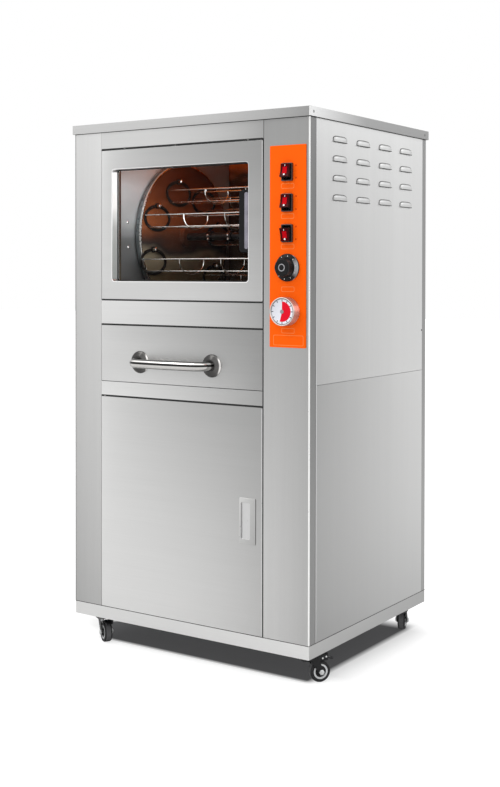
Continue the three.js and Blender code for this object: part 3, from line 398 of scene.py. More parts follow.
    def banded(self, colour: Socket, bands: Sequence[Point], axis: int) -> Socket:
        """Paints reflections and shade on a piece by how far its surface leans along an axis.

        Args:
            colour: The plain colour.
            bands: Pairs of lean and tone, from a lean of -1 to one of 1.
            axis: The axis.

        Returns:
            The colour with its painted reflections and shade.
        """
        lean = self.split(self.node("ShaderNodeNewGeometry", {}, 1))[axis]
        stops = [(where, grey(tone)) for where, tone in bands]
        tone = self.ramp(self.ranged(lean, -1.0, 1.0, 0.0, 1.0), stops)
        return self.mixed(1.0, colour, tone, "MULTIPLY")

    def bump(self, height: Socket, strength: float) -> Socket:
        """Returns the normal of a relief with a pattern and a strength."""
        values = {"Height": height, "Strength": strength, "Distance": RELIEF_HEIGHT}
        return self.node("ShaderNodeBump", values)


ACROSS = (4.0, 4.0, 330.0)
UPRIGHT = (330.0, 330.0, 4.0)
STEEL = Finish("brushed_sheet", (0.72, 0.72, 0.715), 1.0, 0.36, ACROSS, 0.028, 0.035, 0.05, 7.0)
# Dark finish for the painted shade lines round the louvres, and for the dark lid screws and side rivet.
SHADE_LINE_AND_DARK_SCREW = Finish("sheet_crease", (0.045, 0.045, 0.045), 0.6, 0.5, 80.0, 0.2, 0.08, 0.05)
# The can's pinkish colour is partly a painted reflection of the orange plate; its lean pattern paints
# reflections and a bright band.
CAN = Finish("timer_can_plate", (0.80, 0.72, 0.68), 0.6, 0.28, 60.0, 0.05, 0.05, 0.03,
             bands=((-1.0, 0.45), (-0.6, 0.75), (-0.3, 0.55), (0.0, 0.8), (0.15, 1.3), (0.35, 1.25),
                    (0.5, 0.7), (0.8, 0.5), (1.0, 0.45)))
HEM = replace(STEEL, name="hem_sheet", colour=(0.60, 0.60, 0.60), grain=UPRIGHT)
# Painted highlight for the bright front edge and the lid's end.
EDGE_HIGHLIGHT = Finish("bright_edge", (0.92, 0.92, 0.91), 0.6, 0.3, 60.0, 0.04, 0.05, 0.03)
# Painted reflections on the chrome by lean: dark on top, a bright line, a dark line, a pale lower half.
CHROME = Finish("chrome_plate", (0.84, 0.82, 0.80), 1.0, 0.09, 50.0, 0.04, 0.03, 0.02,
                bands=((-1.0, 0.05), (-0.86, 0.08), (-0.76, 0.6), (-0.1, 0.78), (-0.02, 0.05), (0.38, 0.04),
                       (0.46, 0.95), (0.68, 0.9), (0.78, 0.05), (1.0, 0.04)))
# Painted reflections on the rosettes: dark, with a painted highlight on their right side.
ROSETTE = replace(CHROME, name="rosette_chrome", roughness=0.16, lean_axis=0,
                  bands=((-1.0, 0.04), (-0.1, 0.07), (0.3, 0.1), (0.5, 0.16), (0.64, 0.95), (1.0, 1.1)))
ZINC = Finish("zinc_sheet", (0.48, 0.50, 0.51), 0.9, 0.45, 160.0, 0.12, 0.1, 0.1, 18.0)
NUT = replace(ZINC, name="nut_zinc", colour=(0.66, 0.67, 0.67))
SCREW = Finish("bright_screw", (0.80, 0.80, 0.78), 1.0, 0.25, 300.0, 0.08, 0.06, 0.08)
BLACK = Finish("black_moulding", (0.008, 0.008, 0.009), 0.0, 0.2, 700.0, 0.25, 0.06, 0.08, gleam=0.15)
# The rib's grey stands in for a painted highlight on the black pull.
RIB = replace(BLACK, name="rib_moulding", colour=(0.24, 0.23, 0.27), roughness=0.22)
BEZEL = replace(BLACK, name="bezel_moulding", colour=(0.034, 0.029, 0.029), gleam=0.45)
PAINT = Finish("black_enamel", (0.014, 0.014, 0.015), 0.0, 0.38, 350.0, 0.3, 0.08, 0.12, gleam=0.22)
# Black for the window's gasket, and for the strips of painted shade in the gaps and along each seam.
GASKET_AND_GAP_SHADE = Finish("black_seal", (0.01, 0.01, 0.01), 0.0, 0.75, 400.0, 0.3, 0.08, 0.1)
ORANGE = Finish("orange_foil", (1.0, 0.118, 0.002), 0.0, 0.48, 500.0, 0.03, 0.05, 0.06, gleam=0.06)
PRINT = Finish("pale_print", (1.0, 0.24, 0.06), 0.0, 0.5, 400.0, 0.05, 0.05, 0.04, gleam=0.1)
DARK_PRINT = Finish("dark_print", (0.45, 0.02, 0.0), 0.0, 0.5, 400.0, 0.05, 0.05, 0.04, gleam=0.1)
WHITE = Finish("white_print", (0.86, 0.86, 0.85), 0.0, 0.45, 300.0, 0.03, 0.05, 0.03)
# Painted shade for the dark ring between the timer's bezel and face.
GREY = Finish("grey_print", (0.10, 0.10, 0.11), 0.0, 0.5, 300.0, 0.06, 0.05, 0.03)
PALE_GREY = replace(GREY, name="pale_grey_print", colour=(0.33, 0.33, 0.35))
TICK = replace(GREY, name="tick_print", colour=(0.03, 0.03, 0.034))
HUB = replace(GREY, name="hub_grey", colour=(0.26, 0.26, 0.27))
RED = Finish("dark_red_moulding", (0.055, 0.001, 0.002), 0.0, 0.3, 300.0, 0.12, 0.05, 0.04, gleam=0.05)
# The dial's bluish tint and its painted sheen are painted shade, darkest at the upper left.
DIAL = replace(WHITE, name="dial_print", colour=(0.80, 0.81, 0.88),
               wash=Wash(0, 264.0, 322.0, 832.0, 891.0, (0.92, 1.06, 0.70, 1.0)))
# The skirt's lean pattern paints a highlight on its right; the cap's paints faint reflections on black.
SKIRT = Finish("skirt_moulding", (0.34, 0.34, 0.35), 0.0, 0.3, 500.0, 0.1, 0.05, 0.05, gleam=0.06,
               lean_axis=0,
               bands=((-1.0, 0.05), (0.36, 0.05), (0.52, 1.0), (0.58, 1.0), (0.68, 0.08), (1.0, 0.04)))
KNOB = replace(SKIRT, name="knob_moulding",
               bands=((-1.0, 0.10), (-0.2, 0.05), (0.4, 0.04), (0.7, 0.12), (1.0, 0.03)))
# Painted light and shade on the pull: a light left edge, a dark right edge and a painted sheen; the cup is
# painted dark on its top wall and bright on its bottom lip.
PULL = Finish("pull_sheet", (0.50, 0.50, 0.495), 1.0, 0.3, 90.0, 0.03, 0.05, 0.04,
              bands=((-1.0, 1.5), (-0.3, 1.0), (0.3, 1.0), (0.8, 0.35), (1.0, 0.3)), lean_axis=0,
              wash=Wash(0, 160.5, 206.0, 316.5, 424.5, (1.08, 0.86, 1.3, 0.95)))
CUP = replace(PULL, name="cup_sheet", colour=(0.62, 0.62, 0.62), lean_axis=2, wash=None,
              bands=((-1.0, 0.3), (-0.3, 1.0), (0.4, 1.0), (0.9, 2.4), (1.0, 2.6)))
LINING = Finish("door_lining", (0.74, 0.76, 0.74), 0.45, 0.35, 60.0, 0.05, 0.05, 0.03)
# Painted highlight for the white rim round the window.
WINDOW_RIM_HIGHLIGHT = Finish("window_edge", (0.98, 0.98, 0.97), 0.0, 0.45, 60.0, 0.03, 0.05, 0.03)
# Painted highlight along the doors' right folded edges.
DOOR_EDGE_HIGHLIGHT = replace(EDGE_HIGHLIGHT, name="folded_edge", colour=(0.62, 0.62, 0.62))
# Painted shade along the left front edge.
LEFT_EDGE_SHADE = replace(HEM, name="dark_fold", colour=(0.40, 0.40, 0.40))
WELD = replace(STEEL, name="ground_weld", colour=(0.42, 0.42, 0.415), grain=UPRIGHT)
LENS = Finish("red_window", (0.46, 0.001, 0.006), 0.0, 0.25, 500.0, 0.1, 0.04, 0.05,
              gleam=0.04, glow=0.05, glow_colour=(1.0, 0.0, 0.01))
SECTOR = Finish("red_sector", (0.72, 0.004, 0.02), 0.0, 0.5, 300.0, 0.06, 0.05, 0.03, gleam=0.1)
TREAD = Finish("caster_tread", (0.115, 0.115, 0.118), 0.0, 0.7, 260.0, 0.2, 0.1, 0.15, gleam=0.1)
TYRE = Finish("caster_tyre", (0.018, 0.018, 0.019), 0.0, 0.6, 260.0, 0.2, 0.1, 0.15, gleam=0.25)
RIM = Finish("caster_rim", (0.60, 0.61, 0.62), 0.1, 0.42, 200.0, 0.12, 0.08, 0.08)
WOOL = Finish("wool_mat", (0.62, 0.58, 0.42), 0.0, 0.95, 220.0, 0.2, 0.03, 0.5)
GLASS = Finish("door_glass", (0.012, 0.014, 0.014), 0.0, 0.06, 12.0, 0.02, 0.03, 0.01, alpha=0.05,
               gleam=0.2)
SHEATH = Finish("hot_sheath", (0.9, 0.28, 0.06), 0.3, 0.5, 200.0, 0.15, 0.08, 0.1, glow=1.8)
COLD_SHEATH = Finish("dark_sheath", (0.12, 0.10, 0.09), 0.4, 0.55, 200.0, 0.2, 0.08, 0.1)
STRAP = Finish("burnt_strap", (0.016, 0.013, 0.011), 0.5, 0.42, 180.0, 0.3, 0.1, 0.12)
WIRE = Finish("basket_wire", (0.72, 0.71, 0.68), 1.0, 0.24, 220.0, 0.1, 0.08, 0.08)
# Heat tint with painted glow by height: pale low down, dark brown higher, orange glow under the roof.
LINER = Finish("chamber_sheet", (1.0, 1.0, 1.0), 0.2, 0.45, 18.0, 0.15, 0.08, 0.08, 7.0, gleam=0.12,
               stains=((809.0, (0.25, 0.22, 0.155)), (860.0, (0.20, 0.175, 0.12)),
                       (1000.0, (0.06, 0.048, 0.035)), (1140.0, (0.07, 0.03, 0.018)),
                       (1222.0, (0.09, 0.035, 0.014)), (1246.0, (0.75, 0.15, 0.02)),
                       (1276.0, (0.9, 0.2, 0.03))))
# Painted light on the chamber's side sheet: dark low down, brightest a little below the top.
CHEEK = Finish("chamber_cheek_sheet", (1.0, 1.0, 1.0), 0.35, 0.4, 18.0, 0.1, 0.08, 0.06, 7.0, gleam=0.3,
               stains=((905.0, (0.14, 0.145, 0.145)), (949.0, (0.18, 0.185, 0.185)),
                       (1014.0, (0.19, 0.20, 0.20)), (1036.0, (0.23, 0.24, 0.24)),
                       (1079.0, (0.44, 0.46, 0.46)), (1166.0, (0.63, 0.66, 0.67)),
                       (1265.0, (0.34, 0.33, 0.32))))
# Painted light on the window's jamb: dim low down, white near the top, with a faint painted glow.
JAMB = Finish("window_jamb_sheet", (1.0, 1.0, 1.0), 0.1, 0.4, 18.0, 0.06, 0.05, 0.04, 7.0, gleam=0.3,
              glow=0.1, glow_colour=(0.92, 1.0, 0.96),
              stains=((928.0, (0.30, 0.31, 0.30)), (1050.0, (0.36, 0.37, 0.36)), (1120.0, (0.8, 0.8, 0.78)),
                      (1207.0, (1.0, 1.0, 1.0))))
# The disc's colour by height is burnt wear with painted orange glow from the heater.
DISC = Finish("worn_disc", (1.0, 1.0, 1.0), 0.35, 0.4, 60.0, 0.3, 0.1, 0.1, 12.0, gleam=0.2,
              stains=((850.0, (0.15, 0.11, 0.06)), (949.0, (0.17, 0.13, 0.07)), (985.0, (0.36, 0.31, 0.21)),
                      (1010.0, (0.06, 0.05, 0.045)), (1036.0, (0.15, 0.06, 0.035)),
                      (1090.0, (0.42, 0.13, 0.045)), (1150.0, (0.22, 0.06, 0.02)),
                      (1230.0, (0.07, 0.02, 0.01))))
FLANGE = Finish("disc_flange", (0.20, 0.22, 0.225), 0.7, 0.3, 60.0, 0.2, 0.1, 0.08)
SHAFT = Finish("dark_shaft", (0.05, 0.045, 0.045), 0.8, 0.35, 160.0, 0.3, 0.1, 0.1)


def world_mesh(name: str, build: Faces) -> Mesh:
    """Writes a mesh built in millimetres as one in metres, with its faces outwards.

    Args:
        name: The mesh's name.
        build: The finished faces. They are freed.

    Returns:
        The mesh.
    """
    bmesh.ops.remove_doubles(build, verts=build.verts, dist=MERGE_GAP)
    bmesh.ops.recalc_face_normals(build, faces=build.faces)
    bmesh.ops.scale(build, vec=(MM, MM, MM), verts=build.verts)
    mesh = bpy.data.meshes.new(name)
    build.to_mesh(mesh)
    build.free()
    return mesh


def shown(name: str, mesh: Mesh, finish: Finish, smooth: float = 35.0) -> bpy.types.Object:
    """Puts a mesh into the scene with its finish and shading.

    Args:
        name: The object's name.
        mesh: Its mesh, with its place in it.
        finish: Its finish.
        smooth: Edges above this angle in degrees stay sharp.

    Returns:
        The object, at the origin.
    """
    mesh.materials.clear()
    mesh.materials.append(finish.material())
    mesh.polygons.foreach_set("use_smooth", [True] * len(mesh.polygons))
    mesh.set_sharp_from_angle(angle=math.radians(smooth))
    mesh.update()
    draft = bpy.data.objects.new(name + "_draft", mesh)
    bpy.context.scene.collection.objects.link(draft)
    weigh = draft.modifiers.new("weigh", "WEIGHTED_NORMAL")
    weigh.keep_sharp = True
    weigh.weight = 100
    flat = bpy.data.meshes.new_from_object(draft.evaluated_get(bpy.context.evaluated_depsgraph_get()))
    bpy.data.objects.remove(draft)
    flat.name = name
    piece = bpy.data.objects.new(name, flat)
    bpy.context.scene.collection.objects.link(piece)
    return piece


def fitted(name: str, build: Faces | Mesh, finish: Finish, body: str,
           instead: Sequence[str] = (), smooth: float = 35.0) -> bpy.types.Object:
    """Finishes a piece, hangs it on its body and hides the nodes that it stands for.

    Args:
        name: The piece's name.
        build: Its faces in millimetres, or a baked mesh in metres.
        finish: Its finish.
        body: The body that carries it.
        instead: Nodes that it stands for.
        smooth: Edges above this angle in degrees stay sharp.

    Returns:
        The piece.
    """
    mesh = world_mesh(name, build) if isinstance(build, Faces) else build
    piece = shown(name, mesh, finish, smooth)
    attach(piece, body)
    if instead:
        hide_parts(*instead)
    LOG.info("%s: %d faces", name, len(piece.data.polygons))
    return piece


def turns(first: float, last: float, steps: int) -> list[float]:
    """Returns angles in radians from one angle in degrees to another, in even steps."""
    return [math.radians(first + (last - first) * i / steps) for i in range(steps + 1)]


def rounded(x: Point, y: Point, radius: float | Sequence[float], steps: int = 6) -> list[Point]:
    """Draws a rectangle with round corners.

    Args:
        x: Its left and right.
        y: Its bottom and top.
        radius: One radius, or four, counter-clockwise from the lower left.
        steps: Points on each corner.

    Returns:
        The outline, counter-clockwise.
    """
    radii = [radius] * 4 if isinstance(radius, (int, float)) else list(radius)
    corners = ((x[0], y[0], 1, 1, 180), (x[1], y[0], -1, 1, 270), (x[1], y[1], -1, -1, 0),
               (x[0], y[1], 1, -1, 90))
    outline = []
    for r, (cx, cy, sx, sy, turn) in zip(radii, corners):
        if r <= 0:
            outline.append((cx, cy))
            continue
        for a in turns(turn, turn + 90, steps):
            outline.append((cx + sx * r + r * math.cos(a), cy + sy * r + r * math.sin(a)))
    return outline


def inset(x: Point, y: Point, by: Point, radius: float, steps: int) -> list[Point]:
    """Returns a rounded rectangle that lies so far inside another one, across and up."""
    return rounded((x[0] + by[0], x[1] - by[0]), (y[0] + by[1], y[1] - by[1]), radius, steps)


def circle(centre: Point, radius: float, steps: int = ROUND) -> list[Point]:
    """Draws a circle.

    Args:
        centre: Its middle.
        radius: Its radius.
        steps: Its points.

    Returns:
        The outline.
    """
    angles = [2 * math.pi * i / steps for i in range(steps)]
    return [(centre[0] + radius * math.cos(a), centre[1] + radius * math.sin(a)) for a in angles]


def add_plate(build: Faces, outline: Outline, holes: Sequence[Outline], span: Point,
              face: Face, edge: float = 0.0, turn: Matrix | None = None) -> Faces:
    """Adds a flat piece with holes and broken edges.

    Args:
        build: Takes the faces.
        outline: Its outline on the face's drawing axes.
        holes: Outlines of its holes.
        span: Its two places along the face's normal axis.
        face: The side that it lies on.
        edge: Radius of its edges.
        turn: A further move of the piece.

    Returns:
        What took the faces.
    """
    curve = bpy.data.curves.new("outline", "CURVE")
    curve.dimensions = "2D"
    curve.fill_mode = "BOTH"
    curve.extrude = abs(span[1] - span[0]) / 2 - edge
    curve.bevel_depth = edge
    curve.bevel_resolution = 2
    curve.offset = -edge
    for points in (outline, *holes):
        spline = curve.splines.new("POLY")
        spline.points.add(len(points) - 1)
        for point, (u, v) in zip(spline.points, points):
            point.co = (u, v, 0.0, 1.0)
        spline.use_cyclic_u = True
    drawing = bpy.data.objects.new("outline", curve)
    bpy.context.scene.collection.objects.link(drawing)
    mesh = bpy.data.meshes.new_from_object(drawing.evaluated_get(bpy.context.evaluated_depsgraph_get()))
    normal = face.matrix() @ Vector(UP)
    axis = max(range(3), key=lambda i: abs(normal[i]))
    move = Vector(ORIGIN)
    move[axis] = (span[0] + span[1]) / 2
    mesh.transform((turn or Matrix()) @ Matrix.Translation(move) @ face.matrix())
    build.from_mesh(mesh)
    bpy.data.objects.remove(drawing)
    bpy.data.curves.remove(curve)
    bpy.data.meshes.remove(mesh)
    return build


def add_round(build: Faces, profile: Outline, place: Place, along: Place,
              steps: int = ROUND, turn: Matrix | None = None) -> Faces:
    """Adds a turned piece. Its profile starts and ends on the axis, or closes on itself.

    Args:
        build: Takes the faces.
        profile: Radius and height of each point.
        place: Where height zero is.
        along: The way that heights run.
        steps: Points round it.
        turn: A further move of the piece.

    Returns:
        What took the faces.
    """
    lean = Vector(UP).rotation_difference(Vector(along)).to_matrix().to_4x4()
    move = (turn or Matrix()) @ Matrix.Translation(place) @ lean
    rings = []
    for radius, height in profile:
        if radius < ON_AXIS:
            rings.append([build.verts.new(move @ Vector((0, 0, height)))])
            continue
        ring = []
        for i in range(steps):
            a = 2 * math.pi * i / steps
            ring.append(build.verts.new(move @ Vector((radius * math.cos(a), radius * math.sin(a), height))))
        rings.append(ring)
    pairs = list(zip(rings, rings[1:]))
    if len(rings[0]) > 1:
        pairs.append((rings[-1], rings[0]))
    for first, second in pairs:
        for i in range(steps):
            j = (i + 1) % steps
            below = [first[i % len(first)], first[j % len(first)]]
            above = [second[j % len(second)], second[i % len(second)]]
            distinct = list(dict.fromkeys(below + above))
            if len(distinct) > 2:
                build.faces.new(distinct)
    return build


def softened(profile: Outline, radius: float, steps: int = 3) -> list[Point]:
    """Rounds the inner points of a profile.

    Args:
        profile: Points with sharp corners.
        radius: How far from a corner the rounding starts.
        steps: Points on each corner.

    Returns:
        The profile with its corners rounded.
    """
    result = [profile[0]]
    for before, corner, after in zip(profile, profile[1:], profile[2:]):
        a, b, c = Vector(before), Vector(corner), Vector(after)
        r = min(radius, (a - b).length / 2, (c - b).length / 2)
        start = b + (a - b).normalized() * r
        end = b + (c - b).normalized() * r
        for i in range(steps + 1):
            t = i / steps
            point = start * (1 - t) ** 2 + b * 2 * t * (1 - t) + end * t ** 2
            result.append((point.x, point.y))
    result.append(profile[-1])
    return result


def sheet(outline: Outline, span: Point, face: Face, edge: float = 0.0,
          holes: Sequence[Outline] = ()) -> Faces:
    """Builds one flat piece by itself, as add_plate does."""
    return add_plate(bmesh.new(), outline, holes, span, face, edge)


def turned(profile: Outline, place: Place, along: Place, steps: int = ROUND,
           turn: Matrix | None = None) -> Faces:
    """Builds one turned piece by itself, as add_round does."""
    return add_round(bmesh.new(), profile, place, along, steps, turn)


class Pattern(Tree):
    """A Geometry Nodes tree with named inputs, and its bake to one plain mesh."""

    def __init__(self, name: str, on_mesh: bool = False) -> None:
        """Starts the tree.

        Args:
            name: The tree's name.
            on_mesh: Whether it works on the points or edges of a given mesh.
        """
        super().__init__(bpy.data.node_groups.new(name, "GeometryNodeTree"))
        self.ids: dict[str, str] = {}
        self.entry = self.tree.nodes.new("NodeGroupInput")
        self.exit = self.tree.nodes.new("NodeGroupOutput")
        self.tree.interface.new_socket(name="Geometry", in_out="OUTPUT", socket_type="NodeSocketGeometry")
        if on_mesh:
            self.named("Geometry", "NodeSocketGeometry")
        self.finish = self.named("Finish", "NodeSocketMaterial")

    def named(self, name: str, kind: str) -> Socket:
        """Adds a named input.

        Args:
            name: The input's name.
            kind: Its socket type.

        Returns:
            The socket that gives its value inside the tree.
        """
        item = self.tree.interface.new_socket(name=name, in_out="INPUT", socket_type=kind)
        self.ids[name] = item.identifier
        return self.entry.outputs[name]

    def inputs(self, **kinds: str) -> list[Socket]:
        """Adds named inputs, where a name's underscores stand for blanks."""
        return [self.named(name.replace("_", " "), "NodeSocket" + kind) for name, kind in kinds.items()]

    def end(self, geometry: Socket) -> None:
        """Ends the tree in real geometry with its material.

        Args:
            geometry: What the tree has made.
        """
        real = self.node("GeometryNodeRealizeInstances", {"Geometry": geometry})
        made = self.node("GeometryNodeSetMaterial", {"Geometry": real, "Material": self.finish})
        self.tree.links.new(made, self.exit.inputs["Geometry"])

    def bake(self, name: str, finish: Finish, values: dict[str, Any], base: Mesh | None = None) -> Mesh:
        """Runs the tree and keeps its result as a plain mesh.

        Args:
            name: The mesh's name.
            finish: The finish that it sets.
            values: The value of each named input.
            base: The mesh that it works on, if it does.

        Returns:
            The mesh.
        """
        carrier = bpy.data.objects.new(name, base or bpy.data.meshes.new(name))
        bpy.context.scene.collection.objects.link(carrier)
        modifier = carrier.modifiers.new("pattern", "NODES")
        modifier.node_group = self.tree
        modifier[self.ids["Finish"]] = finish.material()
        for key, value in values.items():
            modifier[self.ids[key]] = value
        carrier.update_tag()
        evaluated = carrier.evaluated_get(bpy.context.evaluated_depsgraph_get())
        mesh = bpy.data.meshes.new_from_object(evaluated)
        mesh.name = name
        carrier.modifiers.remove(modifier)
        bpy.data.objects.remove(carrier)
        return mesh


class Patterns:
    """The trees that this part uses: a grid, a ring, given spots, and wires along edges."""

    def __init__(self) -> None:
        """Builds the four trees."""
        self.grid = self.make_grid()
        self.ring = self.make_ring()
        self.spots = self.make_spots()
        self.wires = self.make_wires()

    def make_grid(self) -> Pattern:
        """Builds the tree that repeats a unit in rows and columns.

        Returns:
            The tree.
        """
        tree = Pattern("rows_and_columns")
        unit, columns, rows, across, up, turn, place = tree.inputs(
            Unit="Object", Columns="Int", Rows="Int", Column_Pitch="Float", Row_Pitch="Float", Turn="Vector",
            Place="Vector")
        wide = tree.node("ShaderNodeMath", {"0": columns, "1": 1.0}, operation="SUBTRACT")
        tall = tree.node("ShaderNodeMath", {"0": rows, "1": 1.0}, operation="SUBTRACT")
        size_x = tree.node("ShaderNodeMath", {"0": wide, "1": across}, operation="MULTIPLY")
        size_y = tree.node("ShaderNodeMath", {"0": tall, "1": up}, operation="MULTIPLY")
        points = tree.node("GeometryNodeMeshGrid", {"Size X": size_x, "Size Y": size_y, "Vertices X": columns,
                                                    "Vertices Y": rows})
        shape = tree.node("GeometryNodeObjectInfo", {"Object": unit}, 4)
        copies = tree.node("GeometryNodeInstanceOnPoints", {"Points": points, "Instance": shape})
        tree.end(tree.node("GeometryNodeTransform", {"Geometry": copies, "Translation": place,
                                                     "Rotation": turn}))
        return tree

    def make_ring(self) -> Pattern:
        """Builds the tree that repeats a unit round a centre, each copy turned with its place.

        Returns:
            The tree.
        """
        tree = Pattern("round_a_centre")
        unit, count, radius, phase, turn, place = tree.inputs(
            Unit="Object", Count="Int", Radius="Float", Phase="Float", Turn="Vector", Place="Vector")
        points = tree.node("GeometryNodeMeshCircle", {"Vertices": count, "Radius": radius})
        shape = tree.node("GeometryNodeObjectInfo", {"Object": unit}, 4)
        index = tree.node("GeometryNodeInputIndex", {})
        step = tree.node("ShaderNodeMath", {"0": 2 * math.pi, "1": count}, operation="DIVIDE")
        angle = tree.node("ShaderNodeMath", {"0": index, "1": step}, operation="MULTIPLY")
        spin = tree.node("ShaderNodeCombineXYZ", {"Z": angle})
        copies = tree.node("GeometryNodeInstanceOnPoints", {"Points": points, "Instance": shape,
                                                            "Rotation": spin})
        first = tree.node("ShaderNodeCombineXYZ", {"Z": phase})
        started = tree.node("GeometryNodeTransform", {"Geometry": copies, "Rotation": first})
        tree.end(tree.node("GeometryNodeTransform", {"Geometry": started, "Translation": place,
                                                     "Rotation": turn}))
        return tree

    def make_spots(self) -> Pattern:
        """Builds the tree that puts a unit on each point of a mesh.

        Returns:
            The tree.
        """
        tree = Pattern("on_given_spots", True)
        unit, turn = tree.inputs(Unit="Object", Turn="Vector")
        shape = tree.node("GeometryNodeObjectInfo", {"Object": unit}, 4)
        copies = tree.node("GeometryNodeInstanceOnPoints", {"Points": tree.entry.outputs["Geometry"],
                                                            "Instance": shape, "Rotation": turn})
        tree.end(copies)
        return tree

    def make_wires(self) -> Pattern:
        """Builds the tree that runs a round wire along the edges of a mesh.

        Returns:
            The tree.
        """
        tree = Pattern("wire_along_edges", True)
        radius, sides = tree.inputs(Radius="Float", Sides="Int")
        paths = tree.node("GeometryNodeMeshToCurve", {"Mesh": tree.entry.outputs["Geometry"]})
        section = tree.node("GeometryNodeCurvePrimitiveCircle", {"Resolution": sides, "Radius": radius})
        tree.end(tree.node("GeometryNodeCurveToMesh", {"Curve": paths, "Profile Curve": section,
                                                       "Fill Caps": True}))
        return tree

    def sweep(self, name: str, paths: Sequence[Sequence[Place]], radius: float, sides: int,
              finish: Finish) -> Mesh:
        """Sweeps a round wire along open paths.

        Args:
            name: The mesh's name.
            paths: Points of each path.
            radius: The wire's radius.
            sides: Its sides.
            finish: Its finish.

        Returns:
            The mesh.
        """
        corners: list[Place] = []
        edges: list[tuple[int, int]] = []
        for path in paths:
            start = len(corners)
            corners += [tuple(c * MM for c in point) for point in path]
            edges += [(i, i + 1) for i in range(start, len(corners) - 1)]
        base = bpy.data.meshes.new(name)
        base.from_pydata(corners, edges, [])
        return self.wires.bake(name, finish, {"Radius": radius * MM, "Sides": sides}, base)

    def scatter(self, name: str, unit: Mesh, spots: Sequence[Place], turn: Matrix, finish: Finish) -> Mesh:
        """Puts a unit on given spots.

        Args:
            name: The mesh's name.
            unit: The unit, lying on its drawing axes.
            spots: Where it goes.
            turn: From its drawing axes to the way that it looks.
            finish: Its finish.

        Returns:
            The mesh.
        """
        base = bpy.data.meshes.new(name)
        base.from_pydata([tuple(c * MM for c in spot) for spot in spots], [], [])
        carrier = bpy.data.objects.new("unit", unit)
        values = {"Unit": carrier, "Turn": tuple(turn.to_euler())}
        mesh = self.spots.bake(name, finish, values, base)
        bpy.data.objects.remove(carrier)
        return mesh

    def around(self, name: str, unit: Mesh, count: int, radius: float, phase: float, place: Place,
               face: Face, finish: Finish) -> Mesh:
        """Repeats a unit round a centre.

        Args:
            name: The mesh's name.
            unit: The unit, drawn as if its copy lay at angle zero.
            count: Number of copies.
            radius: Radius of their circle.
            phase: Angle of the first one.
            place: The centre.
            face: The side that they lie on.
            finish: Its finish.

        Returns:
            The mesh.
        """
        carrier = bpy.data.objects.new("unit", unit)
        values = {"Unit": carrier, "Count": count, "Radius": radius * MM, "Phase": phase,
                  "Turn": tuple(face.matrix().to_euler()), "Place": tuple(c * MM for c in place)}
        mesh = self.ring.bake(name, finish, values)
        bpy.data.objects.remove(carrier)
        return mesh


def screw_unit(radius: float, height: float, sides: int = 16, socket: bool = True) -> Mesh:
    """Builds a domed screw head on its drawing axes.

    Args:
        radius: The head's radius.
        height: Its height.
        sides: Points round it.
        socket: Whether it has a drive recess.

    Returns:
        The head's mesh.
    """
    recess = height * 0.55
    top = [(radius * 0.3, height), (radius * 0.25, recess), (0, recess)] if socket else [(0, height)]
    profile = [(0, -0.4), (radius, -0.4), (radius, height * 0.45), (radius * 0.72, height * 0.9), *top]
    return world_mesh("head", turned(profile, ORIGIN, UP, sides))


def area_lamp(name: str, place: Place, size: Point, power: float, colour: Colour) -> bpy.types.Object:
    """Hangs a soft flat lamp.

    Args:
        name: Its name.
        place: Where it hangs.
        size: Its length and width in metres.
        power: Its power.
        colour: Its colour.

    Returns:
        The lamp, which shines down.
    """
    data = bpy.data.lights.new(name, "AREA")
    data.shape = "RECTANGLE"
    data.size, data.size_y = size
    data.energy = power
    data.color = colour
    lamp = bpy.data.objects.new(name, data)
    lamp.location = place
    bpy.context.scene.collection.objects.link(lamp)
    return lamp


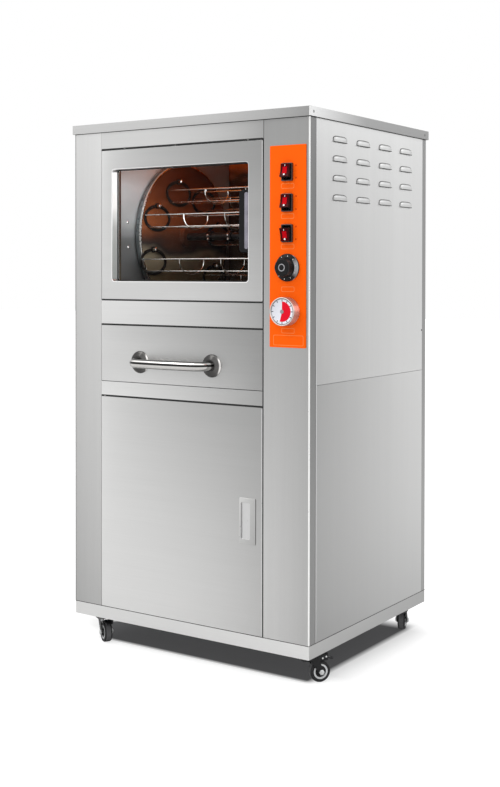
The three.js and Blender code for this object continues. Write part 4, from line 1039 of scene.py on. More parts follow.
@dataclass
class Studio:
    """Floor, light and the camera of the photograph. Its places are in metres, its shade in millimetres."""

    floor_size: float = 40.0
    floor_glow: float = 0.72
    floor_tone: float = 0.66
    camera_place: Place = (1.75927, -2.62959, 0.95048)
    camera_turn: float = 33.73
    camera_tilt: float = -0.70
    camera_roll: float = 0.0014
    lens: float = 55.73
    sensor: float = 36.0
    shift: float = -0.1352
    key_place: Place = (-2.2, -2.2, 5.0)
    key_aim: Place = (0.0, 0.0, 0.7)
    key_size: Point = (2.6, 2.6)
    key_power: float = 60.0
    fill_place: Place = (2.6, 2.4, 2.6)
    fill_aim: Place = (0.3, 0.1, 0.8)
    fill_size: Point = (2.0, 2.0)
    fill_power: float = 12.0
    shade_x: Point = (-292.0, 302.0)
    shade_y: Point = (-205.0, 285.0)
    shade_edge: float = 20.0
    shade_fade: float = 60.0
    shade_margin: float = 140.0
    shade_left_margin: float = 190.0
    shade_lean: float = 0.85
    shade_bulge: float = 105.0
    sky: tuple[Point, Point] = ((0.2, 0.86), (0.7, 1.5))

    def build(self) -> None:
        """Builds the whole studio."""
        self.build_camera()
        self.build_floor()
        self.build_world()
        key = area_lamp("key", self.key_place, self.key_size, self.key_power, (1.0, 0.99, 0.97))
        fill = area_lamp("fill", self.fill_place, self.fill_size, self.fill_power, (0.97, 0.98, 1.0))
        self.aim(key, self.key_aim)
        self.aim(fill, self.fill_aim)
        bpy.context.scene.view_settings.view_transform = "Standard"

    def build_camera(self) -> None:
        """Places the camera that was fitted to the photograph."""
        data = bpy.data.cameras.new("camera")
        data.lens = self.lens
        data.sensor_width = self.sensor
        data.shift_y = self.shift
        data.clip_start = 0.05
        data.clip_end = 100.0
        camera = bpy.data.objects.new("camera", data)
        turn = Matrix.Rotation(math.radians(self.camera_turn), 4, "Z")
        tilt = Matrix.Rotation(math.radians(90 + self.camera_tilt), 4, "X")
        roll = Matrix.Rotation(self.camera_roll, 4, "Z")
        camera.matrix_world = Matrix.Translation(self.camera_place) @ turn @ tilt @ roll
        bpy.context.scene.collection.objects.link(camera)
        bpy.context.scene.camera = camera

    def build_floor(self) -> None:
        """Lays the pale floor, which looks white but throws back little light."""
        half = self.floor_size / 2
        mesh = bpy.data.meshes.new("floor")
        corners = [(-half, -half, 0), (half, -half, 0), (half, half, 0), (-half, half, 0)]
        mesh.from_pydata(corners, [], [(0, 1, 2, 3)])
        floor = bpy.data.objects.new("floor", mesh)
        bpy.context.scene.collection.objects.link(floor)
        graph = Graph("studio_floor")
        to_camera = graph.node("ShaderNodeLightPath", {})
        pale = graph.noise(graph.coordinates(), 2.0, 2.0)
        seen = graph.mixed(graph.ranged(pale, 0.2, 0.8, 0.0, 1.0), grey(0.97), grey(1.0))
        seen = graph.mixed(1.0, seen, self.shade(graph), "MULTIPLY")
        own = graph.mixed(1.0, seen, grey(0.5), "MULTIPLY")
        graph.finish(Base_Color=graph.mixed(to_camera, grey(self.floor_tone), own), Roughness=0.9,
                     Specular_IOR_Level=0.0, Emission_Color=seen,
                     Emission_Strength=graph.math("MULTIPLY", to_camera, self.floor_glow))
        mesh.materials.append(graph.material)

    def shade(self, graph: Graph) -> Socket:
        """Draws the machine's shade: dark and sharp in front, with a soft margin behind and beside it.

        Args:
            graph: The floor's material.

        Returns:
            The floor's tone.
        """
        x, y, _ = graph.split(graph.coordinates())
        left, right = self.shade_x
        front, back = self.shade_y
        soft, fade, margin = self.shade_edge, self.shade_fade, self.shade_margin
        bulge = self.shade_bulge
        away = graph.math("ABSOLUTE", graph.math("ADD", y, -(front + bulge) * MM))
        swell = graph.math("MAXIMUM", graph.math("SUBTRACT", bulge * MM, away), 0.0)
        slanted = graph.math("MULTIPLY_ADD", swell, self.shade_lean, x)
        core = (graph.rise(slanted, left - 2 * soft, left), graph.fall(x, right, right + soft),
                graph.rise(y, front - soft, front), graph.fall(y, back, back + fade))
        beside = graph.math("MINIMUM", graph.fall(x, right, right + margin),
                            graph.rise(slanted, left - self.shade_left_margin, left))
        around = graph.product(beside, graph.fall(y, back, back + margin),
                               graph.rise(y, front - soft, front + fade))
        pale = graph.mixed(around, grey(1.0), grey(0.60))
        return graph.mixed(graph.product(*core), pale, (0.075, 0.075, 0.077))

    def build_world(self) -> None:
        """Lights the scene from all round, brightest from above, and shows white behind it."""
        world = bpy.data.worlds.new("studio")
        bpy.context.scene.world = world
        world.use_nodes = True
        tree = Tree(world.node_tree)
        way = tree.node("ShaderNodeTexCoord", {})
        height = tree.node("ShaderNodeSeparateXYZ", {"0": way}, 2)
        (low, dim), (high, bright) = self.sky
        strength = tree.node("ShaderNodeMapRange", {"Value": height, "From Min": low, "From Max": high,
                                                    "To Min": dim, "To Max": bright})
        around = tree.node("ShaderNodeBackground", {"Color": grey(1.0), "Strength": strength})
        seen = tree.node("ShaderNodeBackground", {"Color": grey(1.0)})
        to_camera = tree.node("ShaderNodeLightPath", {})
        both = tree.node("ShaderNodeMixShader", {"0": to_camera, "1": around, "2": seen})
        tree.feed(tree.tree.nodes.new("ShaderNodeOutputWorld"), {"Surface": both})

    def aim(self, lamp: bpy.types.Object, target: Place) -> None:
        """Turns a lamp towards a place."""
        lamp.rotation_euler = (Vector(target) - lamp.location).to_track_quat("-Z", "Y").to_euler()


def front_steel(name: str, x: Point, z: Point, corners: Tones, grain: Place = ACROSS, **wash: Any) -> Finish:
    """Returns brushed steel with one front sheet's painted light and shade, over its width and height."""
    return replace(STEEL, name=name, grain=grain, wash=Wash(0, *x, *z, corners, **wash))


def side_steel(name: str, z: Point, corners: Tones, ease: float = 1.0) -> Finish:
    """Returns upright brushed steel with one right-hand sheet's painted light and shade."""
    return replace(STEEL, name=name, grain=UPRIGHT, wash=Wash(1, *SIDE_Y, *z, corners, ease))


def door_fold(body: str, z: Point) -> None:
    """Draws a painted highlight on the folded edge at the right of a door, from the fold's bottom to its top.
    """
    fold = sheet(rounded(FOLD_X, z, 0.3, 1), (DOOR_FACE - 0.2, DOOR_FACE), Face.FRONT)
    fitted(body + "_fold", fold, DOOR_EDGE_HIGHLIGHT, body)


@dataclass
class Assembly:
    """A sub-assembly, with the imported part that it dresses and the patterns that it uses."""

    frame: dict[str, Any]
    patterns: Patterns

    def build(self) -> None:
        """Builds and dresses every piece of it."""
        raise NotImplementedError

    def dress(self, finish: Finish, *nodes: str) -> None:
        """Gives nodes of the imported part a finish.

        Args:
            finish: The finish.
            nodes: Names of the nodes.
        """
        for node in nodes:
            for holder in self.frame["nodes"][node].material_slots:
                holder.material = finish.material()


@dataclass
class Carcass(Assembly):
    """The folded shell: base, lid, columns, rails, side and back panels."""

    height: Point = (106.5, 1301.0)
    between: Point = (-262.0, 225.0)
    side_edge: float = 349.5
    lid_edge: float = 354.8
    lid_screws: tuple[Place, ...] = ((354.22, -269.7, 1312.4), (354.22, 302.4, 1312.2))
    screw_radius: float = 3.2
    screw_height: float = 1.2
    side_dot: Place = (350.0, 297.4, 798.5)
    gap_depth: Point = (-278.15, -262.0)
    # Heights of the gaps, each filled with a strip of painted shade.
    gaps: tuple[Point, ...] = ((1255.6, 1260.4), (878.8, 882.4), (816.8, 821.2), (637.1, 641.6))
    gap_dots: tuple[Place, ...] = ((-186.0, -278.3, 1257.4), (-28.0, -278.3, 1257.4), (183.0, -278.3, 1257.4),
                                   (-250.0, -278.3, 638.9))
    # Strips of painted shade along each seam: above the base, below the lid and beside the doors.
    seams: tuple[Block, ...] = (
        ((-350.0, 350.2), (-278.15, -277.5), (104.9, 106.3)),
        ((349.5, 350.2), (-278.0, 322.0), (104.9, 106.3)),
        ((-350.0, 350.2), (-278.15, -277.5), (1300.9, 1302.0)),
        ((349.5, 350.2), (-278.0, 322.0), (1300.9, 1302.0)),
        ((224.1, 226.3), (-278.1, -268.0), (106.4, 1255.4)),
    )
    welds: tuple[Block, ...] = (
        ((224.2, 225.9), (-278.1, -277.3), (820.8, 881.4)),
        ((224.2, 225.9), (-278.1, -277.3), (1259.4, 1300.9)),
    )
    fold: float = 1.6
    fold_reach: float = 2.8
    fold_corner: Point = (350.5, -278.4)
    fold_middle: float = 0.1
    lid_end: Block = ((351.6, 355.3), (-283.5, -283.0), (1302.6, 1323.4))
    hem_y: Point = (-249.4, -245.6)
    hem_x: Point = (350.0, 350.35)

    def build(self) -> None:
        """Dresses the sheets and adds their screws, strips of painted shade, folds and welds."""
        self.dress_sheets()
        self.build_screws()
        self.build_seals()
        self.build_folds()

    def dress_sheets(self) -> None:
        """Gives each sheet its painted light and shade, and the hidden pieces their finishes."""
        x, edge = self.between, self.side_edge
        self.dress(front_steel("steel_left_column", (-350, x[0]), SHELL_Z, (0.58, 0.66, 1.04, 1.1), UPRIGHT),
                   "front_left_column")
        # Beyond the edge, the column's side return is darker with painted shade.
        self.dress(front_steel("steel_right_column", (x[1], 348), SHELL_Z, (0.87, 0.68, 0.50, 0.505), UPRIGHT,
                               edge=edge, edge_tones=(0.42, 0.28)), "front_right_column")
        for name, node, z, corners, ease in (
                ("steel_top_rail", "top_rail", (1259, 1322), (0.96, 0.56, 1.0, 0.55), 2.6),
                ("steel_middle_rail", "middle_rail", (820, 881), (1.05, 0.57, 1.1, 0.55), 1.7),
                ("steel_lower_rail", "drawer_shelf", (640, 697), (1.08, 0.55, 1.0, 0.54), 1.4)):
            self.dress(front_steel(name, x, z, corners, ease=ease), node)
        self.dress(side_steel("steel_side_lower", (105, 693), (0.55, 0.76, 0.54, 1.0)), "right_side_lower")
        self.dress(replace(STEEL, name="steel_hidden_sides", grain=UPRIGHT), "left_side_panel")
        self.dress(front_steel("steel_back", SHELL_X, SHELL_Z, (0.9, 0.9, 0.9, 0.9), UPRIGHT,
                               edge=edge, edge_tones=(0.53, 0.42)), "rear_panel")
        self.dress(front_steel("steel_base", SHELL_X, (62, 105), (0.98, 1.08, 0.98, 1.08),
                               edge=edge, edge_tones=(0.77, 0.61), edge_run=(1, -278, 322)), "base_pan")
        self.dress(front_steel("steel_lid", (-355, 354), (1302, 1324), (0.9, 0.5, 0.9, 0.5), ease=3.0,
                               edge=self.lid_edge, edge_tones=(0.95, 0.47), edge_run=(1, -285, -20)),
                   "lid_top")
        self.dress(ZINC, "cabinet_liner", "shaft_bearing", "thermostat_body", "timer_body", "drawer_box")
        self.dress(WOOL, "insulation_jacket")
        self.dress(PAINT, "gear_motor")
        self.dress(BLACK, "cable_gland")

    def build_screws(self) -> None:
        """Builds the lid's two side screws and the side's rivet."""
        r, h = self.screw_radius, self.screw_height
        ring = world_mesh("ring", turned([(r * 0.5, 0.0), (r, 0.0), (r, h), (r * 0.5, h)], ORIGIN, UP, 24))
        turn = Face.RIGHT.matrix()
        heads = self.patterns.scatter("lid_screws_right", ring, self.lid_screws, turn, SHADE_LINE_AND_DARK_SCREW)
        fitted("lid_screws_right", heads, SHADE_LINE_AND_DARK_SCREW, "cabinet")
        head = screw_unit(2.2, 0.8, 14, False)
        dot = self.patterns.scatter("side_dot", head, [self.side_dot], turn, SHADE_LINE_AND_DARK_SCREW)
        fitted("side_dot", dot, SHADE_LINE_AND_DARK_SCREW, "cabinet")

    def build_seals(self) -> None:
        """Builds the painted shade strips in the gaps and along each seam, and the bright dots in them."""
        build = bmesh.new()
        # Black strips of painted shade in the gaps, a little wider than the gaps and just proud of the
        # sheets.
        for z in self.gaps:
            add_plate(build, rounded(DOOR_X, self.gap_depth, 1.0, 2), (), z, Face.TOP)
        for x, y, z in self.seams:
            add_plate(build, rounded(x, y, 0.1, 1), (), z, Face.TOP)
        fitted("gap_seals", build, GASKET_AND_GAP_SHADE, "cabinet")
        unit = screw_unit(1.1, 0.8, 10, False)
        dots = self.patterns.scatter("gap_dots", unit, self.gap_dots, Face.FRONT.matrix(), SCREW)
        fitted("gap_dots", dots, SCREW, "cabinet")

    def build_folds(self) -> None:
        """Builds the round front edges, the ground welds, the lid's end and the side's hem."""
        (x, y), r, reach = self.fold_corner, self.fold, self.fold_reach
        arc = [(x - r + r * math.sin(a), y + r - r * math.cos(a)) for a in turns(0.0, 90.0, 6)]
        bead = [(x - reach, y + 0.3), (x - reach, y), *arc, (x, y + reach), (x - 0.3, y + reach)]
        mirrored = [(2 * self.fold_middle - u, v) for u, v in reversed(bead)]
        # A painted highlight on the near front edge, and painted shade on its mirror at the left.
        for name, outline, finish in (("corner_fold", bead, EDGE_HIGHLIGHT), ("left_fold", mirrored, LEFT_EDGE_SHADE)):
            fitted(name, sheet(outline, self.height, Face.TOP), finish, "cabinet")
        filled = bmesh.new()
        for x, y, z in self.welds:
            add_plate(filled, rounded(x, y, 0.1, 1), (), z, Face.TOP)
        fitted("rail_welds", filled, WELD, "cabinet")
        # The lid's end carries a painted highlight.
        x, y, z = self.lid_end
        fitted("lid_end", sheet(rounded(x, y, 0.2, 2), z, Face.TOP), EDGE_HIGHLIGHT, "cabinet")
        hem = sheet(rounded(self.hem_y, self.height, 0.5, 2), self.hem_x, Face.RIGHT)
        fitted("side_hem", hem, HEM, "cabinet")


@dataclass
class LouvredSide(Assembly):
    """The upper right side panel with its pressed louvres."""

    face: float = 350.0
    plate: float = 1.2
    y: Point = (-249.6, 300.3)
    z: Point = (693.4, 1322.2)
    length: float = 64.0
    height: float = 12.8
    depth: float = 4.3
    square: float = 0.5
    # Radius of the painted shade lines.
    crease: float = 1.05
    columns: int = 4
    rows: int = 4
    pitch_y: float = 114.0
    pitch_z: float = 45.4
    first_y: float = -140.9
    first_z: float = 1254.6
    around: int = 28
    across: int = 10
    hood_tones: tuple[Point, ...] = ((-1.0, 0.3), (-0.15, 0.6), (0.02, 0.9), (0.3, 0.85), (0.6, 0.5),
                                     (1.0, 0.3))

    def build(self) -> None:
        """Builds the pierced panel, its hoods, and the painted shade lines round them."""
        unit = bpy.data.objects.new("unit", self.hood())
        middle_y = self.first_y + self.pitch_y * (self.columns - 1) / 2
        middle_z = self.first_z - self.pitch_z * (self.rows - 1) / 2
        values = {"Unit": unit, "Columns": self.columns, "Rows": self.rows, "Column Pitch": self.pitch_y * MM,
                  "Row Pitch": self.pitch_z * MM, "Turn": tuple(Face.RIGHT.matrix().to_euler()),
                  "Place": (self.face * MM, middle_y * MM, middle_z * MM)}
        # The side sheet's painted light and shade, over its depth and height.
        finish = side_steel("steel_side_upper", self.z, (0.62, 1.0, 0.82, 1.02), 0.8)
        hoods = self.patterns.grid.bake("hoods", finish, values)
        bpy.data.objects.remove(unit)
        half = self.length / 2 - 3 * self.plate
        slots = [rounded((y - half, y + half), (z + 0.4, z + self.height - 4), 3, 3) for y, z in self.cells()]
        span = (self.face - self.plate, self.face)
        panel = sheet(rounded(self.y, self.z, 0.5, 1), span, Face.RIGHT, 0.0, slots)
        fitted("louvred_side", panel, finish, "cabinet", ("right_side_upper",))
        # The hoods' painted shade darkens their upward- and downward-facing parts.
        pressed = replace(finish, name="steel_hoods", bands=self.hood_tones)
        fitted("louvre_hoods", hoods, pressed, "cabinet", (), 50.0)
        self.build_creases()

    def cells(self) -> list[Point]:
        """Returns the middle of each louvre's mouth, row by row from the top."""
        return [(self.first_y + column * self.pitch_y, self.first_z - row * self.pitch_z)
                for row in range(self.rows) for column in range(self.columns)]

    def squared(self, angle: float) -> Point:
        """Returns a point of the hood's squarish outline, across and up, as shares of its size."""
        across = math.copysign(abs(math.cos(angle)) ** self.square, math.cos(angle))
        return (across, abs(math.sin(angle)) ** self.square)

    def hood(self) -> Mesh:
        """Builds one hood on its drawing axes: an open quarter shell with its wall.

        Returns:
            The hood's mesh.
        """
        build = bmesh.new()
        rings = []
        for wall in (0.0, self.plate):
            grid = []
            for k in range(self.across + 1):
                tilt = math.pi / 2 * k / self.across
                row = []
                for i in range(self.around + 1):
                    a = math.pi * i / self.around
                    across, up = self.squared(a)
                    u = (self.length / 2 - wall) * math.sin(tilt) ** self.square * across
                    v = (self.height - wall) * math.sin(tilt) ** self.square * up
                    n = (self.depth - wall) * math.cos(tilt)
                    row.append(build.verts.new((u, v, n)))
                grid.append(row)
            rings.append(grid)
        for grid in rings:
            for low, high in zip(grid, grid[1:]):
                for i in range(self.around):
                    build.faces.new((low[i], low[i + 1], high[i + 1], high[i]))
        outer, inner = rings
        for end in (0, self.around):
            for k in range(self.across):
                build.faces.new((outer[k][end], outer[k + 1][end], inner[k + 1][end], inner[k][end]))
        return world_mesh("hood", build)

    def build_creases(self) -> None:
        """Draws a painted shade line round the top of each hood and along its mouth."""
        paths = []
        lip = self.face + self.depth * 0.55
        reach = self.length * 0.47
        for y, z in self.cells():
            path = []
            for i in range(self.around + 1):
                across, up = self.squared(math.pi * i / self.around)
                path.append((self.face + 0.1, y + self.length / 2 * across, z + self.height * up))
            paths += [path, [(lip, y - reach, z - 0.5), (lip, y + reach, z - 0.5)]]
        shade_lines = self.patterns.sweep("louvre_creases", paths, self.crease, 6, SHADE_LINE_AND_DARK_SCREW)
        fitted("louvre_creases", shade_lines, SHADE_LINE_AND_DARK_SCREW, "cabinet")


@dataclass
class OvenDoor(Assembly):
    """The glazed oven door with its moulded pull."""

    z: Point = (882.5, 1255.5)
    # Painted light and shade over the front: lighter on the left, darker to the right.
    tones: Tones = (0.96, 0.73, 1.2, 0.47)
    window_x: Point = (-227.4, 184.0)
    window_z: Point = (927.5, 1207.2)
    corner: float = 8.0
    glass_front: float = -256.1
    glass_x: Point = (-236.0, 192.6)
    glass_z: Point = (918.9, 1215.8)
    back: float = -251.8
    seal: float = 2.6
    rim: float = 1.5
    pull_x: Point = (157.0, 183.7)
    pull_z: Point = (996.5, 1142.5)
    pull_front: float = -276.9
    rib_x: Point = (172.8, 183.0)

    def build(self) -> None:
        """Builds the door's skin, seal, jamb, rim and pull, and dresses its glass and liner."""
        skin = bmesh.new()
        outline = rounded(DOOR_X, self.z, 2.0, 4)
        window = rounded(self.window_x, self.window_z, self.corner, 10)
        add_plate(skin, outline, (window,), (DOOR_FACE, self.glass_front), Face.FRONT, 0.8)
        groove = rounded(self.glass_x, self.glass_z, 1.0, 2)
        add_plate(skin, outline, (groove,), (self.glass_front, self.back), Face.FRONT)
        finish = front_steel("steel_oven_door", DOOR_X, self.z, self.tones, ease=3.5, ease_high=0.4)
        fitted("oven_door_front", skin, finish, "oven_door", ("oven_door_skin",))
        self.build_window(window)
        door_fold("oven_door", (self.z[0] + 2.0, self.z[1] - 2.0))
        self.dress(GLASS, "oven_door_glass")
        self.dress(LINING, "oven_door_liner")
        self.build_pull()

    def build_window(self, window: list[Point]) -> None:
        """Builds what frames the glass: its seal, the left jamb with painted light, and the rim with a
        painted highlight.

        Args:
            window: The window's outline.
        """
        x, z, glass = self.window_x, self.window_z, self.glass_front
        inner = inset(x, z, (self.seal, self.seal), self.corner - 2, 8)
        outer = inset(x, z, (0.1, 0.1), self.corner, 8)
        seal = sheet(outer, (glass - 1.6, glass + 0.1), Face.FRONT, 0.3, (inner,))
        fitted("window_seal", seal, GASKET_AND_GAP_SHADE, "oven_door")
        side = rounded((DOOR_FACE + 1.2, glass - 1.8), (z[0] + 6, z[1] - 6), 0.5, 1)
        jamb = sheet(side, (x[0] + 0.05, x[0] + 0.35), Face.RIGHT)
        fitted("window_jamb", jamb, JAMB, "oven_door")
        around = inset(x, z, (-self.rim, -self.rim), self.corner + 1, 10)
        rim = sheet(around, (DOOR_FACE - 0.15, DOOR_FACE), Face.FRONT, 0.0, (window,))
        # The rim's painted highlight fades to the upper right.
        tone = Wash(0, *x, *z, (1.0, 0.95, 0.9, 0.55))
        fitted("window_rim", rim, replace(WINDOW_RIM_HIGHLIGHT, wash=tone), "oven_door")

    def build_pull(self) -> None:
        """Builds the black pull with its finger lip, and its rib with a painted highlight."""
        build = bmesh.new()
        x, z, y = self.pull_x, self.pull_z, self.pull_front
        add_plate(build, rounded(x, z, (10, 2, 2, 10), 8), (), (y, y + 5), Face.FRONT, 1.2)
        lip = rounded((x[1] - 4, x[1]), (z[0] + 3, z[1] - 3), 1, 2)
        add_plate(build, lip, (), (y + 4, self.glass_front), Face.FRONT)
        fitted("oven_door_grip", build, BLACK, "oven_door", ("oven_door_pull",))
        rib = sheet(rounded(self.rib_x, (z[0] + 8, z[1] - 6), 4, 6), (y - 0.7, y + 0.5), Face.FRONT, 0.6)
        fitted("oven_door_grip_rib", rib, RIB, "oven_door")


@dataclass
class Chamber(Assembly):
    """The hot chamber behind the glass: its side sheet, screws, heaters and warm light."""

    wall_screws: tuple[Place, ...] = ((-230.0, -214.3, 1077.0), (-230.0, -211.5, 1013.2))
    glow_place: Place = (-0.02, -0.02, 1.247)
    glow_size: Point = (0.38, 0.24)
    glow_power: float = 0.07
    wall_place: Place = (-0.05, -0.21, 1.14)
    wall_size: Point = (0.22, 0.12)
    wall_power: float = 0.34
    cheek_x: Point = (-229.9, -229.5)
    cheek_y: Point = (-240.0, 240.0)
    cheek_z: Point = (814.0, 1270.0)

    def build(self) -> None:
        """Dresses the chamber, adds its side sheet and screws, and lights it."""
        self.dress(LINER, "chamber_liner")
        self.dress(SHEATH, "heater_upper")
        self.dress(COLD_SHEATH, "heater_lower")
        cheek = sheet(rounded(self.cheek_y, self.cheek_z, 6, 4), self.cheek_x, Face.RIGHT)
        fitted("chamber_cheek", cheek, CHEEK, "cabinet")
        head = screw_unit(4.0, 2.2)
        screws = self.patterns.scatter("wall_screws", head, self.wall_screws, Face.RIGHT.matrix(), SCREW)
        fitted("wall_screws", screws, SCREW, "cabinet")
        area_lamp("chamber_glow", self.glow_place, self.glow_size, self.glow_power, (1.0, 0.30, 0.06))
        wall = area_lamp("wall_glow", self.wall_place, self.wall_size, self.wall_power, (0.94, 0.97, 1.0))
        wall.rotation_euler = (0.0, math.pi / 2, 0.0)


@dataclass
class Rotor(Assembly):
    """The motor-driven rotor: shaft, clamps, two discs and eight hanging wire baskets."""

    axis: Point = (7.1, 1045.6)
    left_disc: float = -212.0
    right_disc: float = 175.0
    disc_radius: float = 192.0
    plate: float = 3.0
    rim: float = 4.0
    flange: float = 13.0
    hub_radius: float = 28.0
    hub_length: float = 14.0
    stud_circle: float = 150.0
    stud_radius: float = 4.0
    stud_length: float = 12.0
    phase: float = 104.0
    count: int = 8
    shaft_radius: float = 10.0
    bore_gap: float = 0.3
    shaft_x: Point = (-249.0, 245.0)
    collars: tuple[float, ...] = (-127.0, -62.0)
    collar: Point = (15.0, 6.0)
    collar_bolts: tuple[Point, ...] = ((14.6, 3.0), (13.0, -7.5))
    half_width: float = 52.0
    tall: float = 32.0
    basket_x: Point = (-208.0, 171.0)
    strap_width: float = 8.5
    strap_plate: float = 2.0
    strap_gap: float = 1.5
    strap_start: float = 12.0
    eye: Point = (7.5, 4.4)
    eye_span: Point = (0.2, 4.8)
    rim_angle: float = 79.2
    floor_share: float = 40.3
    wire: float = 1.6

    def build(self) -> None:
        """Builds the shaft, both discs and every basket."""
        self.build_shaft()
        self.build_disc("rotor_disc_left", self.left_disc, 1)
        self.build_disc("rotor_disc_right", self.right_disc, -1)
        for index in range(self.count):
            self.build_basket(index)

    def build_shaft(self) -> None:
        """Builds the shaft with its clamp collars and bolts."""
        y, z = self.axis
        a, b = self.shaft_x
        rod = [(0, 0), (self.shaft_radius, 0), (self.shaft_radius, b - a), (0, b - a)]
        build = turned(softened(rod, 1.5), (a, y, z), RIGHTWARDS, 32)
        r, half = self.collar
        for x in self.collars:
            clamp = softened([(0, -half), (r, -half), (r, half), (0, half)], 1.0)
            add_round(build, clamp, (x, y, z), RIGHTWARDS, 32)
        fitted("shaft_and_clamps", build, SHAFT, "rotor", ("rotor_shaft",))
        spots = [(x, y - dy, z + dz) for x in self.collars for dy, dz in self.collar_bolts]
        head = screw_unit(3.4, 2.6, 12)
        bolts = self.patterns.scatter("clamp_bolts", head, spots, Face.FRONT.matrix(), SCREW)
        fitted("clamp_bolts", bolts, SCREW, "rotor")

    def build_disc(self, node: str, x: float, inward: int) -> None:
        """Builds a disc with its rolled rim, hub, studs and nuts.

        Args:
            node: The node that it stands for.
            x: The disc's outer face.
            inward: The way towards the other disc.
        """
        r, t, rim, hub = self.disc_radius, self.plate, self.rim, self.hub_radius
        place, along = (x, *self.axis), (inward, 0, 0)
        out, bore = r + rim / 2, self.shaft_radius + self.bore_gap
        curl = [(r - rim / 2, -rim), (out - 0.6, -rim / 2), (out, 0), (out, t - 0.8), (out - 0.8, t)]
        profile = [(bore, 0), (r - rim, 0), *softened(curl, 1.6), (hub + 1, t), (hub, t + 1),
                   (hub, self.hub_length - 1), (hub - 1, self.hub_length), (bore, self.hub_length)]
        build = turned(profile, place, along, DISC_ROUND)
        reach = t + self.stud_length
        s = self.stud_radius
        stud = softened([(0, t - 1), (s, t - 1), (s, reach), (0, reach)], 0.8)
        for index in range(self.count):
            add_round(build, stud, (x, *self.pivot(index)), along, 16)
        fitted(node + "_plate", build, DISC, "rotor", (node,))
        band = [(r - rim * 0.4, -rim * 0.95), (out + 0.25, -rim / 2), (out + 0.25, t - 0.6),
                (out - 0.5, t + 0.2), (r - 1.5, t + 0.2), (r - 1.5, t - 0.8), (r + 1.0, t - 1.0),
                (r + 1.0, -rim / 2)]
        fitted(node + "_rim", turned(band, place, along, DISC_ROUND), WIRE, "rotor")
        if inward > 0:
            wall = [(r - 3, -0.2), (r - 3, -self.flange), (r + 1.2, -self.flange), (r + 1.2, -0.2)]
            fitted(node + "_flange", turned(wall, place, along, DISC_ROUND), FLANGE, "rotor")
        spots = [(x + inward * (reach - 1.0), *self.pivot(index)) for index in range(self.count)]
        turn = Matrix.Rotation(math.pi / 2 * inward, 4, "Y")
        nuts = self.patterns.scatter(node + "_nuts", screw_unit(5.2, 4.0, 6, False), spots, turn, SCREW)
        fitted(node + "_nuts", nuts, SCREW, "rotor", (), 20.0)

    def pivot(self, index: int) -> Point:
        """Returns the place of a basket's pivot, across and up."""
        a = math.radians(self.phase + index * 360 / self.count)
        return (self.axis[0] + self.stud_circle * math.cos(a), self.axis[1] + self.stud_circle * math.sin(a))

    def loop(self, pivot: Point, angles: Sequence[float], grow: float) -> list[Point]:
        """Draws a basket's end loop, across and up, at angles from its top.

        Args:
            pivot: The basket's pivot.
            angles: The angles in radians.
            grow: How far outside the middle of the strap it runs.

        Returns:
            The points.
        """
        y, z = pivot
        return [(y + (self.half_width + grow) * math.sin(t), z - self.tall + (self.tall + grow) * math.cos(t))
                for t in angles]

    def build_basket(self, index: int) -> None:
        """Builds one hanging basket: two strap loops with eyes, and its wires.

        Args:
            index: Its number from zero.
        """
        body = f"basket_{index + 1}"
        pivot = self.pivot(index)
        a, b = self.basket_x
        half = self.strap_width / 2
        angles = turns(self.strap_start, 360 - self.strap_start, 48)
        strap = self.loop(pivot, angles, half - 1.5) + self.loop(pivot, angles[::-1], -half - 1.5)
        straps = bmesh.new()
        for x, way in ((a, 1), (b, -1)):
            span = sorted((x + way * self.strap_gap, x + way * (self.strap_gap + self.strap_plate)))
            add_plate(straps, strap, (), (span[0], span[1]), Face.RIGHT, 0.4)
            span = sorted(x + way * reach for reach in self.eye_span)
            hole = circle(pivot, self.eye[1], 20)
            add_plate(straps, circle(pivot, self.eye[0], 24), (hole,), (span[0], span[1]), Face.RIGHT, 0.5)
        fitted(body + "_straps", straps, STRAP, body, (body,))
        rods = (self.rim_angle, 180 - self.floor_share, 180 + self.floor_share, 360 - self.rim_angle)
        spots = self.loop(pivot, [math.radians(angle) for angle in rods], 0.0)
        paths = [[(x, *spot) for x in (a + 2.5, b - 2.5)] for spot in spots]
        arc = self.loop(pivot, turns(self.rim_angle, 360 - self.rim_angle, 20), 0.0)
        paths += [[(a + (b - a) * share, *spot) for spot in arc] for share in (1 / 3, 2 / 3)]
        wires = self.patterns.sweep(body + "_wires", paths, self.wire, 8, WIRE)
        fitted(body + "_wires", wires, WIRE, body)


@dataclass
class LowerDoor(Assembly):
    """The cupboard door with its pressed pull."""

    z: Point = (106.5, 637.0)
    # Painted light and shade over the front: lighter on the left, darker to the right.
    tones: Tones = (1.0, 0.74, 1.01, 0.52)
    fold_z: Point = (108.5, 634.5)
    pull_x: Point = (160.5, 206.0)
    pull_z: Point = (316.5, 424.5)
    mouth_x: Point = (165.5, 190.5)
    mouth_z: Point = (328.0, 413.0)
    plate: float = 1.6
    cup_wall: float = 1.2
    cup_depth: float = 2.6

    def build(self) -> None:
        """Dresses the door and builds the pull."""
        finish = front_steel("steel_lower_door", DOOR_X, self.z, self.tones, ease=3.0, ease_high=0.66)
        self.dress(finish, "lower_door_panel")
        mouth = rounded(self.mouth_x, self.mouth_z, 3, 5)
        frame = rounded(self.pull_x, self.pull_z, 3, 5)
        span = (DOOR_FACE - self.plate, DOOR_FACE - 0.1)
        fitted("lower_door_escutcheon", sheet(frame, span, Face.FRONT, 0.6, (mouth,)), PULL, "lower_door")
        wall = inset(self.mouth_x, self.mouth_z, (-self.cup_wall, -self.cup_wall), 4, 5)
        deep = DOOR_FACE + self.cup_depth
        cup = sheet(wall, (DOOR_FACE - 0.2, deep), Face.FRONT, 0.0, (mouth,))
        add_plate(cup, wall, (), (deep - self.cup_wall, deep), Face.FRONT)
        fitted("lower_door_cup", cup, CUP, "lower_door", ("lower_door_pull",))
        door_fold("lower_door", self.fold_z)


